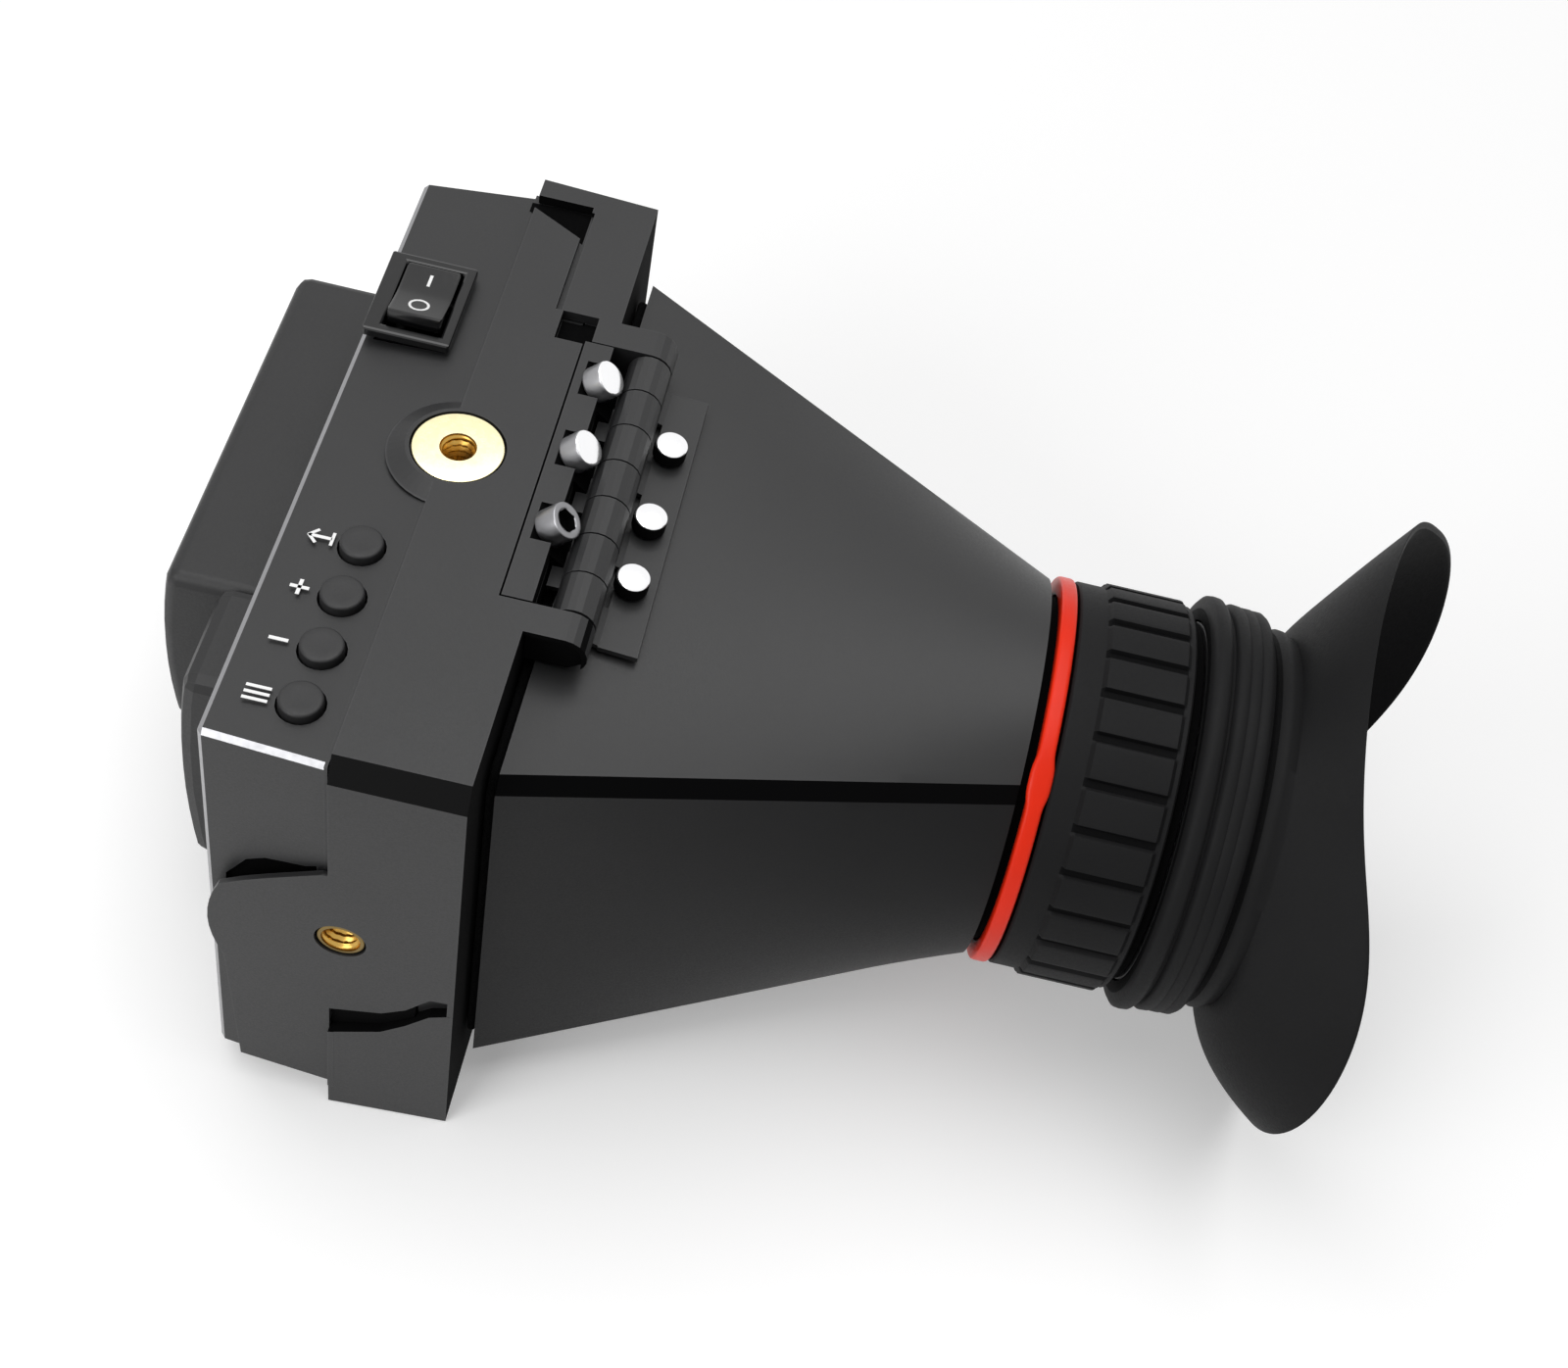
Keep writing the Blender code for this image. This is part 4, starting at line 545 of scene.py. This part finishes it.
# 1 in the grooves between the ribs, along the window only: darker rubber as painted shade.
def grooveShade(row, column):
    phase = (column / focus["ribPoints"]) % 1.0
    step = (focus["start"] - focus["end"]) / (focus["rows"] - 1)
    inWindow = ((row * step > focus["ribStart"]) & (row * step + focus["ribEnd"] + step
                                                    < focus["start"] - focus["end"]))
    return (phase > focus["share"]) & inWindow


addPiece("focus_grip", gridMesh(focusSurface(focus), loopRows=True, pick=grooveShade),
         "rubber rubberDark", "focus", ("focus_ring",))
print("barrel and rings made")

cell = {"start": -0.0948, "end": -0.1108, "outer": 0.0268, "inner": 0.0246, "seat": 0.0014,
        "edge": 0.0030, "thick": 0.0090, "lensRadius": 0.0243, "keeperPlay": 0.0003,
        "keeper": 0.0016, "play": 0.0006, "soft": 0.00015, "keeperSoft": 0.0002}
low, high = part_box("lens_retaining_ring")
cellSeat = cell["end"] + cell["keeper"] + cell["edge"] + cell["seat"] + cell["play"]
addPiece("cell_tube", opticalRing([
    (cell["start"], cell["inner"]), (cell["start"], cell["outer"]), (cell["end"], cell["outer"]),
    (cell["end"], cell["inner"]), (cellSeat - cell["seat"], cell["inner"]),
    (cellSeat - cell["seat"], cell["inner"] - cell["seat"]),
    (cellSeat, cell["inner"] - cell["seat"]), (cellSeat, cell["inner"])], cell["soft"]),
    "mouldedPlastic", "magnifier", ("lens_cell",))
addPiece("keeper_ring", opticalRing([
    (high.y, cell["inner"] - cell["keeperPlay"]), (low.y, cell["inner"] - cell["keeperPlay"]),
    (low.y, cell["inner"] - cell["seat"]), (high.y, cell["inner"] - cell["seat"])],
    cell["keeperSoft"]), "satinPaint", "magnifier",
    ("lens_retaining_ring",))


# Two shallow domes back to back: height falls with the square of the radius.
def lensProfile(radius, edge, thick, steps=24):
    share = np.linspace(0.0, 1.0, steps)
    rise = edge / 2 + (thick - edge) / 2 * (1 - share ** 2)
    top = np.stack([rise, radius * share], -1)
    return np.concatenate([top, top[::-1] * [-1.0, 1.0]])


addPiece("magnifier_lens", turnedMesh(
    lensProfile(cell["lensRadius"], cell["edge"], cell["thick"]),
    (0, nodeMiddle("eyepiece_lens").y, axisHeight), (0, -1, 0)), "displayGlass", "magnifier",
    ("eyepiece_lens",))

cup = {"start": -0.1146, "neckReach": 0.0157, "ringRadius": 0.0310, "ringLength": 0.0050,
       "ringSoft": 0.0004, "ringPlay": 0.0003, "ringBore": 0.0313,
       "wall": 0.0018, "neckRadius": 0.0318, "farWing": 0.0560, "nearWing": 0.0503,
       "saddle": 0.0345, "reach": 0.0172, "fullness": 2.6, "farBow": 0.25, "nearBow": 0.50,
       "turn": 37.7, "sides": 256,
       "waves": ((0.0047, -0.0018), (0.0052, -0.0018), (0.0031, -0.0019), (0.0012, 0.0016)),
       "bellows": ((0.00, 0.0333), (0.015, 0.0349), (0.05, 0.0356), (0.10, 0.0357),
                   (0.16, 0.0356), (0.20, 0.0350), (0.225, 0.0341), (0.25, 0.0340),
                   (0.275, 0.0348), (0.31, 0.0351), (0.38, 0.0350), (0.405, 0.0347),
                   (0.43, 0.0349), (0.50, 0.0349), (0.525, 0.0346), (0.55, 0.0348),
                   (0.61, 0.0348), (0.65, 0.0344), (0.685, 0.0332), (0.71, 0.0322),
                   (0.74, 0.0319), (0.78, 0.0321), (0.84, 0.0327), (0.90, 0.0326),
                   (1.00, 0.0318)),
       "groove": (18, 21), "flareSteps": 31, "lipSteps": 7, "lipStart": 0.985}
cupNeck = cup["start"] - cup["neckReach"]
addPiece("snap_ring", opticalRing([
    (cup["start"], barrel["inner"]), (cup["start"], cup["ringRadius"]),
    (cup["start"] - cup["ringLength"], cup["ringRadius"]),
    (cup["start"] - cup["ringLength"], barrel["inner"])], cup["ringSoft"]),
    "mouldedPlastic", "eyecup", ("eyecup_mount_ring",))


# Rings from the neck, flare 0, to the two-winged rim, flare 1. Rim radius =
# ((|cos|/wing)^n + (|sin|/saddle)^n)^(-1/n); rim reach = a sum of sines and cosines of the
# angle; between them the radius runs with flare^(1 - bow cos^2) and the reach with flare.
def cupRings(y, radius, flare, size):
    angle = np.linspace(0, 2 * np.pi, size["sides"], endpoint=False)[None]
    y, radius, flare = (np.asarray(values, float)[:, None] for values in (y, radius, flare))
    far = np.cos(angle) > 0
    wing = np.where(far, size["farWing"], size["nearWing"])
    bow = np.where(far, size["farBow"], size["nearBow"])
    power = size["fullness"]
    rimRadius = ((np.abs(np.cos(angle)) / wing) ** power
                 + (np.abs(np.sin(angle)) / size["saddle"]) ** power) ** (-1 / power)
    rimRadius = rimRadius - (size["neckRadius"] - radius)
    rimY = cupNeck - size["reach"] + sum(
        sine * np.sin(k * angle) + cosine * np.cos(k * angle)
        for k, (sine, cosine) in enumerate(size["waves"], start=1))
    r = radius + (rimRadius - radius) * flare ** (1.0 - bow * np.cos(angle) ** 2)
    return aroundAxis(y + (rimY - y) * flare, r, angle + math.radians(size["turn"]))


# Bellows along the neck, the flare out to the rim, a rounded lip, and the inner wall back to
# the snap ring.
def cupSurface(size):
    share, radius = np.array(size["bellows"]).T
    y = size["start"] - size["neckReach"] * share
    steps, lipSteps, lipStart = size["flareSteps"], size["lipSteps"], size["lipStart"]
    flareOut = np.linspace(0.0, 1.0, steps + 2)[1:-1] * lipStart
    lipTurn = np.linspace(0.0, np.pi, lipSteps)
    wall, inner = size["wall"], size["neckRadius"] - size["wall"]
    lipRadius = size["neckRadius"] - wall / 2 + wall / 2 * np.cos(lipTurn)
    step, bore = size["start"] - size["ringLength"] - size["ringPlay"], size["ringBore"]
    parts = [(y, radius, y * 0.0),
             (np.full(steps, cupNeck), np.full(steps, size["neckRadius"]), flareOut),
             (np.full(lipSteps, cupNeck), lipRadius,
              lipStart + (1.0 - lipStart) * np.sin(lipTurn)),
             (np.full(steps, cupNeck), np.full(steps, inner), flareOut[::-1]),
             (np.array([cupNeck, step, step, size["start"]]),
              np.array([inner, inner, bore, bore]), np.zeros(4))]
    y, radius, flare = (np.concatenate([part[k] for part in parts]) for k in range(3))
    return cupRings(y, radius, flare, size)


# 1 inside the cup and in the groove before the flare: darker rubber as painted shade.
def cupShade(row, column):
    inside = row > len(cup["bellows"]) + cup["flareSteps"] + cup["lipSteps"] // 2
    grooved = (row >= cup["groove"][0]) & (row < cup["groove"][1])
    return inside | grooved


addPiece("eyecup_rubber", gridMesh(cupSurface(cup), loopRows=True, smoothAngle=50.0,
                                   pick=cupShade), "rubber rubberDark", "eyecup",
         ("eyecup",))
print("eyecup made")

thread = {"pitch": 0.00127, "depth": 0.00045, "sides": 72, "flange": 0.0012, "soft": 0.0003,
          "mouth": 0.0002, "row": 0.0001, "plain": 0.0004, "fade": 0.0008}


# Flange, sleeve and hole as one turned wall; inside, the radius follows a helix: hole radius
# - depth x a triangle wave of height / pitch + angle. The hole is the second finish.
def insertMesh(node, axis, flange, sleeve, hole, length):
    low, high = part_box(node)
    direction = Vector(axis)
    top = nodeMiddle(node) + direction * abs((high - low).dot(direction)) / 2
    angle = np.linspace(0, 2 * np.pi, thread["sides"], endpoint=False)[None]
    outer = softLoop([(-thread["flange"], sleeve), (-thread["flange"], flange), (0.0, flange),
                      (0.0, hole + thread["mouth"])], thread["soft"], 4, closed=False)
    z = np.linspace(-thread["mouth"], -length, int(length / thread["row"]))[:, None]
    wave = np.abs(((z / thread["pitch"] + angle / (2 * np.pi)) % 1.0) * 2 - 1)
    fade = np.clip((-z - thread["plain"]) / thread["fade"], 0, 1)
    bore = hole + thread["mouth"] * (1 - fade) - thread["depth"] * wave * fade
    skin = turnPoints(outer, thread["sides"])
    inner = np.stack([bore * np.cos(angle), bore * np.sin(angle),
                      np.broadcast_to(z, bore.shape)], -1)
    foot = turnPoints([(-length, sleeve)], thread["sides"])
    return gridMesh(placeAlong(np.concatenate([skin, inner, foot]), top, axis), loopRows=True,
                    smoothAngle=40.0,
                    pick=lambda row, column: (row >= len(skin)) & (row < len(skin) + len(z)))


# The thread holes of both inserts are darker brass as painted shade
addPiece("top_insert", insertMesh("top_threaded_insert", (0, 0, 1), flange=0.0072,
                                  sleeve=0.0045, hole=0.0027, length=0.0080),
         "brass brassThread", "screen_unit", ("top_threaded_insert",))
# The side insert's flange is darkened brass as painted shade, for its recess
addPiece("side_insert", insertMesh("side_threaded_insert", (-1, 0, 0), flange=0.0038,
                                   sleeve=0.0034, hole=0.0029, length=0.0050),
         "brassBore brassThread", "screen_unit", ("side_threaded_insert",))

hingeScrew = {"edge": 0.0005, "rise": 0.0003, "frameRadius": 0.0030, "hoodRadius": 0.0027,
              "slope": 43.8, "frameShine": 0.86, "hoodShine": 0.80, "socket": 0.0018,
              "socketDepth": 0.0020, "mouth": 0.0003, "mouthDepth": 0.0002, "taper": 0.98,
              "point": 0.0004, "soft": 0.0003, "hexagon": 0.93, "sides": 60, "shadeRows": 9}


# Seat and height of a CAD screw, measured along its own axis.
def screwEnds(node, axis):
    flat = np.zeros(len(nodes[node].data.vertices) * 3)
    nodes[node].data.vertices.foreach_get("co", flat)
    points = flat.reshape(-1, 3)
    direction = np.array(Vector(axis).normalized())
    along = points @ direction
    middle = (points.min(0) + points.max(0)) / 2
    return middle + direction * (along.min() - middle @ direction), along.max() - along.min()


# A straight drum with a rounded rim and a shallow dome; the rim and dome are chrome.
def screwCap(name, node, axis, radius, body, bodyFinish, chromeFrom):
    seat, height = screwEnds(node, axis)
    rim = softLoop([(0, 0), (0, radius), (height - hingeScrew["rise"], radius), (height, 0)],
                   hingeScrew["edge"], 5, closed=False)
    mesh = turnedMesh(rim, seat, axis, 64, smoothAngle=50.0,
                      pick=lambda row, column: rim[row, 0] > height * chromeFrom)
    addPiece(name, mesh, bodyFinish + " chrome", body, (node,))


def leaning(angle):
    return (0.0, -math.sin(angle), math.cos(angle))


frameLean = leaning(math.radians(hingeScrew["slope"]))
hoodLean = leaning(math.atan((hood["halfHeight"] - hood["endRadius"]) / hood["length"]))
for place in ("far", "middle"):
    screwCap("frame_cap_" + place, "frame_hinge_screw_" + place, frameLean,
             hingeScrew["frameRadius"], "screen_unit", "screwSatin", hingeScrew["frameShine"])
# The hood screws' drums are matt black as painted shade for their shaded sides
for place in ("far", "middle", "near"):
    screwCap("hood_cap_" + place, "hood_hinge_screw_" + place, hoodLean,
             hingeScrew["hoodRadius"], "hood", "deepBlack", hingeScrew["hoodShine"])

# The near screw has a six-sided socket: inside it the circle is pulled out to a hexagon
seat, height = screwEnds("frame_hinge_screw_near", frameLean)
socket, drop = hingeScrew["socket"], hingeScrew["socketDepth"]
socketPoints = turnPoints(softLoop(
    [(0, 0), (0, hingeScrew["frameRadius"]), (height, hingeScrew["frameRadius"]),
     (height, socket + hingeScrew["mouth"]), (height - hingeScrew["mouthDepth"], socket),
     (height - drop, socket * hingeScrew["taper"]), (height - drop - hingeScrew["point"], 0)],
    hingeScrew["soft"], 3, closed=False), hingeScrew["sides"])
spin = np.linspace(0, 2 * np.pi, hingeScrew["sides"], endpoint=False)
hexagon = hingeScrew["hexagon"] / np.cos((spin + np.pi / 6) % (np.pi / 3) - np.pi / 6)
inSocket = ((np.hypot(socketPoints[..., 0], socketPoints[..., 1]) < socket + 0.0001)
            & (socketPoints[..., 2] > 0.0005))
socketPoints[..., :2] *= np.where(inSocket, hexagon[None], 1.0)[..., None]
# The socket's wall and floor, its last rows, are matt black as painted shade
addPiece("frame_cap_near", gridMesh(
    placeAlong(socketPoints, seat, frameLean),
    pick=lambda row, column: row > len(socketPoints) - hingeScrew["shadeRows"]),
    "polishedEdge deepBlack", "screen_unit", ("frame_hinge_screw_near",))

# Hinge pin and magnets as drums as large as their nodes
drumSoft = {"pin": 0.0004, "magnet": 0.0003, "latch": 0.0005, "latchRise": 0.0003}
low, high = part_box("hinge_pin")
middle = nodeMiddle("hinge_pin")
addPiece("pin_rod", drumMesh((high.z - low.z) / 2, high.x - low.x, drumSoft["pin"],
                             (low.x, middle.y, middle.z), (1, 0, 0)),
         "screwBlack", "screen_unit", ("hinge_pin",))
for place in ("near", "far"):
    low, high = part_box("frame_magnet_" + place)
    middle = nodeMiddle("frame_magnet_" + place)
    addPiece("magnet_" + place, drumMesh((high.x - low.x) / 2, high.y - low.y,
                                         drumSoft["magnet"], (middle.x, high.y, middle.z),
                                         (0, -1, 0)),
             "steel", "screen_unit", ("frame_magnet_" + place,))

crossHead = {"radius": 0.0022, "height": 0.0010, "slot": 0.00038, "reach": 0.0013,
             "depth": 0.0006, "slotBlur": 0.00006, "reachBlur": 0.00008, "domeShare": 0.35,
             "rimShare": 0.55, "rimStart": 0.85, "rimWidth": 0.15, "sides": 72, "rings": 36}


# Height = dome - depth x a soft cross, where softness is 1 / (1 + exp(distance / blur)).
def crossScrew(name, node, size):
    low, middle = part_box(node)[0], nodeMiddle(node)
    angle = np.linspace(0, 2 * np.pi, size["sides"], endpoint=False)[None]
    share = np.linspace(0.0, 1.0, size["rings"])[:, None]
    x, z = size["radius"] * share * np.cos(angle), size["radius"] * share * np.sin(angle)
    beside = (np.minimum(np.abs(x), np.abs(z)) - size["slot"]) / size["slotBlur"]
    beyond = (np.hypot(x, z) - size["reach"]) / size["reachBlur"]
    cross = 1 / (1 + np.exp(beside)) / (1 + np.exp(beyond))
    rise = size["height"] * (1 - size["domeShare"] * share ** 2 - size["rimShare"]
                             * np.clip(share - size["rimStart"], 0, 1) / size["rimWidth"])
    top = np.stack([x, z, rise - size["depth"] * cross], -1)
    foot = turnPoints([(0.0, size["radius"]), (0.0, 0.0)], size["sides"])
    points = placeAlong(np.concatenate([top, foot]), (middle.x, low.y, middle.z), (0, 1, 0))
    addPiece(name, gridMesh(points), "steel", "screen_unit", (node,))


for place in ("far_high", "far_low", "near_high", "near_low"):
    crossScrew("cross_screw_" + place, "cover_screw_" + place, crossHead)
print("inserts and screws made")

button = {"radius": 0.0033, "soft": 0.0006, "collar": 0.0008, "dish": 0.0022, "drop": 0.0001}
for node, body in (("button_exit", "exit_button"), ("button_plus", "plus_button"),
                   ("button_minus", "minus_button"), ("button_menu", "menu_button")):
    low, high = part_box(node)
    middle = nodeMiddle(node)
    tall, collarRadius, drop = high.z - low.z, (high.x - low.x) / 2, button["drop"]
    outline = softLoop([(0, 0), (0, collarRadius), (button["collar"], collarRadius),
                        (button["collar"], button["radius"]), (tall - drop, button["radius"]),
                        (tall, button["dish"]), (tall - drop, 0)], button["soft"], 5,
                       closed=False)
    addPiece(node + "_cap", turnedMesh(outline, (middle.x, middle.y, low.z), (0, 0, 1), 64),
             "mouldedPlastic", body, (node,))

sign = {"thick": 0.00006, "y": 0.0234, "top": 0.0940, "size": 0.0017}


# Flat bars, each given by its middle, half sizes and turn in shares of the sign's size.
def signMesh(bars, x, y, z):
    shape = bmesh.new()
    for middleX, middleY, halfX, halfY, turn in bars:
        bmesh.ops.create_cube(shape, size=1.0, matrix=(
            Matrix.Translation((x + middleX * sign["size"], y + middleY * sign["size"],
                                z + sign["thick"] / 2))
            @ Matrix.Rotation(math.radians(turn), 4, "Z")
            @ Matrix.Diagonal((2 * halfX * sign["size"], 2 * halfY * sign["size"],
                               sign["thick"], 1.0))))
    mesh = bpy.data.meshes.new("sign")
    shape.to_mesh(mesh)
    shape.free()
    return mesh


signs = {"sign_exit": (-0.0220, ((0.0, -0.1, 0.16, 1.0, 0), (0.36, 0.62, 0.14, 0.58, 45),
                                 (-0.36, 0.62, 0.14, 0.58, -45), (0.0, -1.15, 0.75, 0.14, 0))),
         "sign_plus": (-0.0321, ((0, 0, 0.85, 0.17, 0), (0, 0, 0.17, 0.85, 0))),
         "sign_minus": (-0.0422, ((0, 0, 0.17, 0.85, 0),)),
         "sign_menu": (-0.0523, ((0.66, 0, 0.15, 1.1, 0), (0, 0, 0.15, 1.1, 0),
                                 (-0.66, 0, 0.15, 1.1, 0)))}
for name, (x, bars) in signs.items():
    addPiece(name, signMesh(bars, x, sign["y"], sign["top"]), "whitePrint", "screen_unit")

rocker = {"x": 0.0296, "pivotTop": 0.0951, "half": 0.0068, "rise": 0.0016, "depth": 0.0060,
          "tip": 7.0, "soft": 0.0005, "bow": 1.4, "bowPoints": 15, "core": -0.0005,
          "nearShare": 0.3, "mark": 0.0034, "markRadius": 0.0013, "markLine": 0.00042,
          "markPoints": 64, "barShare": 0.6, "barSquare": 1.6, "barCore": 0.02, "lift": 0.00005}


# Turns points (along, across, up) of the rocker by its tip and moves them to the switch.
def tipOver(along, across, up):
    tip = math.radians(rocker["tip"])
    return np.stack(np.broadcast_arrays(
        rocker["x"] + along * math.cos(tip) + up * math.sin(tip), across,
        rocker["pivotTop"] - along * math.sin(tip) + up * math.cos(tip)), -1)


# Height of the hollow top: rise + vee x |along / half|^bow.
def rockerTop(along):
    vee = math.tan(math.radians(rocker["tip"])) * rocker["half"]
    return rocker["rise"] + vee * (np.abs(along) / rocker["half"]) ** rocker["bow"]


# A side view with a hollow top, rounded at its corners, carried across the switch with its
# last rows drawn in to round the two cheeks.
def rockerSurface(size, lowY, highY):
    bow = np.linspace(-1, 1, size["bowPoints"]) * size["half"]
    under = np.array([(size["half"], 0.0), (size["half"] / 2, -size["depth"] / 2),
                      (-size["half"] / 2, -size["depth"] / 2), (-size["half"], 0.0)])
    side = softLoop(np.concatenate([np.stack([bow, rockerTop(bow)], -1), under]),
                    size["soft"], 2)
    soft, width, near = size["soft"], (highY - lowY) / 2, size["nearShare"]
    nearEnd = np.array([-1, -1, -1, -1 + near * soft / width, -1 + soft / width])
    cheek = np.concatenate([nearEnd, [0.0], -nearEnd[::-1]])[:, None]
    pullEnd = np.array([0, 0.5, 1 - soft / size["half"], 1 - near * soft / size["half"], 1])
    pull = np.concatenate([pullEnd, [1.0], pullEnd[::-1]])[:, None]
    return tipOver(side[None, :, 0] * pull, (lowY + highY) / 2 + width * cheek,
                   size["core"] + (side[None, :, 1] - size["core"]) * pull)


# Prints on the rocker: a closed band between two outlines, its top a lift over the surface.
def markMesh(innerX, innerY, outerX, outerY):
    x = np.stack([innerX, outerX, outerX, innerX])
    y = np.stack([innerY, outerY, outerY, innerY])
    lift = rocker["lift"] * np.array([1, 1, -1, -1])[:, None]
    return gridMesh(tipOver(x, y, rockerTop(x) + lift), loopRows=True, smoothAngle=60.0)


low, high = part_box("power_rocker")
addPiece("rocker_key", gridMesh(rockerSurface(rocker, low.y, high.y), smoothAngle=40.0),
         "glossPlastic", "rocker", ("power_rocker",))
rockerY = (low.y + high.y) / 2
turnAngle = np.linspace(0, 2 * np.pi, rocker["markPoints"], endpoint=False)
outerRadius, innerRadius = rocker["markRadius"] + rocker["markLine"], rocker["markRadius"]
addPiece("mark_off", markMesh(
    innerRadius * np.cos(turnAngle) - rocker["mark"], rockerY + innerRadius * np.sin(turnAngle),
    outerRadius * np.cos(turnAngle) - rocker["mark"], rockerY + outerRadius * np.sin(turnAngle)),
    "whitePrint", "rocker")
halfLong, halfThin = rocker["markRadius"], rocker["markLine"] * rocker["barShare"]
squareX, squareY = (np.clip(rocker["barSquare"] * wave(turnAngle), -1, 1)
                    for wave in (np.cos, np.sin))
core = rocker["barCore"]
addPiece("mark_on", markMesh(
    squareX * halfLong * core + rocker["mark"], rockerY + squareY * halfThin * core,
    squareX * halfLong + rocker["mark"], rockerY + squareY * halfThin), "whitePrint",
    "rocker")
print("controls made")

low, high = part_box("battery_latch")
middle = nodeMiddle("battery_latch")
addPiece("latch_button", drumMesh((high.x - low.x) / 2, high.y - low.y, drumSoft["latch"],
                                  (middle.x, low.y, middle.z), (0, 1, 0), sides=56, steps=5,
                                  rise=drumSoft["latchRise"]),
         "mouldedPlastic", "latch", ("battery_latch",))

studio = {"reach": 3.0, "floorHeight": -0.0003, "floorColour": 0.86, "floorGlow": 0.25,
          "ambient": 0.22, "fade": (0.30, 0.80)}
reach = studio["reach"]
floorMesh = bpy.data.meshes.new("floor")
floorMesh.from_pydata([(x * reach, y * reach, studio["floorHeight"])
                       for x, y in ((-1, -1), (1, -1), (1, 1), (-1, 1))], [], [(0, 1, 2, 3)])
floor = bpy.data.objects.new("floor", floorMesh)
bpy.context.scene.collection.objects.link(floor)


# 1 where the camera looks, straight or by way of gloss or glass, and 0 for lighting.
def seenByCamera(tree):
    path = addNode(tree, "LightPath", {}).outputs
    total = path["Is Camera Ray"]
    for name in ("Is Glossy Ray", "Is Transmission Ray"):
        total = addNode(tree, "Math", {0: total, 1: path[name]}, operation="ADD",
                        use_clamp=True).outputs[0]
    return total


paperFinish = bpy.data.materials.new("paper")
paperFinish.use_nodes = True
tree = paperFinish.node_tree
paper = feed(tree.nodes["Principled BSDF"], {
    "Base Color": (*[studio["floorColour"]] * 3, 1.0), "Roughness": 0.9,
    "Specular IOR Level": 0.1})
glow = addNode(tree, "Emission", {"Strength": stretchValue(
    tree, seenByCamera(tree), 0.0, studio["floorGlow"], 0.0, 1.0)})
both = addNode(tree, "AddShader", {0: paper.outputs[0], 1: glow.outputs[0]})
# Away from the object the floor fades into the white backdrop, as the camera sees it
away = addNode(tree, "VectorMath", {0: addNode(tree, "TexCoord", {}).outputs["Object"]},
               operation="LENGTH")
fade = addNode(tree, "Math", {
    0: stretchValue(tree, away.outputs["Value"], 0.0, 1.0, *studio["fade"]),
    1: seenByCamera(tree)}, operation="MULTIPLY")
backdropWhite = addNode(tree, "Emission", {"Strength": 1.0})
blend = addNode(tree, "MixShader", {0: fade.outputs[0], 1: both.outputs[0],
                                    2: backdropWhite.outputs[0]})
feed(tree.nodes["Material Output"], {"Surface": blend.outputs[0]})
floorMesh.materials.append(paperFinish)

world = bpy.data.worlds.new("studio")
bpy.context.scene.world = world
world.use_nodes = True
tree = world.node_tree
feed(tree.nodes["Background"], {
    "Color": (1.0, 1.0, 1.0, 1.0),
    "Strength": stretchValue(tree, seenByCamera(tree), studio["ambient"], 1.0, 0.0, 1.0)})


def areaLight(name, place, target, size, power):
    light = bpy.data.lights.new(name, "AREA")
    light.shape = "RECTANGLE"
    light.size, light.size_y = size
    light.energy = power
    lamp = bpy.data.objects.new(name, light)
    lamp.location = place
    lamp.rotation_euler = (Vector(target) - Vector(place)).to_track_quat("-Z", "Y").to_euler()
    bpy.context.scene.collection.objects.link(lamp)


areaLight("overhead", (0.15, 0.05, 1.40), (0, -0.03, 0.04), (1.4, 1.4), 15.0)
areaLight("left", (-0.50, 0.36, 0.42), (-0.06, 0, 0.05), (0.4, 0.4), 2.1)

camera = bpy.data.cameras.new("camera")
camera.sensor_width = 36.0
camera.lens = 54.9
camera.clip_start = 0.01
cameraObject = bpy.data.objects.new("camera", camera)
bpy.context.scene.collection.objects.link(cameraObject)
cameraObject.matrix_world = Matrix((
    (0.17371051, 0.76455303, -0.62071195, -0.247514),
    (-0.97416285, 0.22578033, 0.00547551, -0.046846),
    (0.14433087, 0.60372336, 0.78401958, 0.369528), (0, 0, 0, 1)))
bpy.context.scene.camera = cameraObject
bpy.context.scene.view_settings.view_transform = "Standard"
print("studio made")
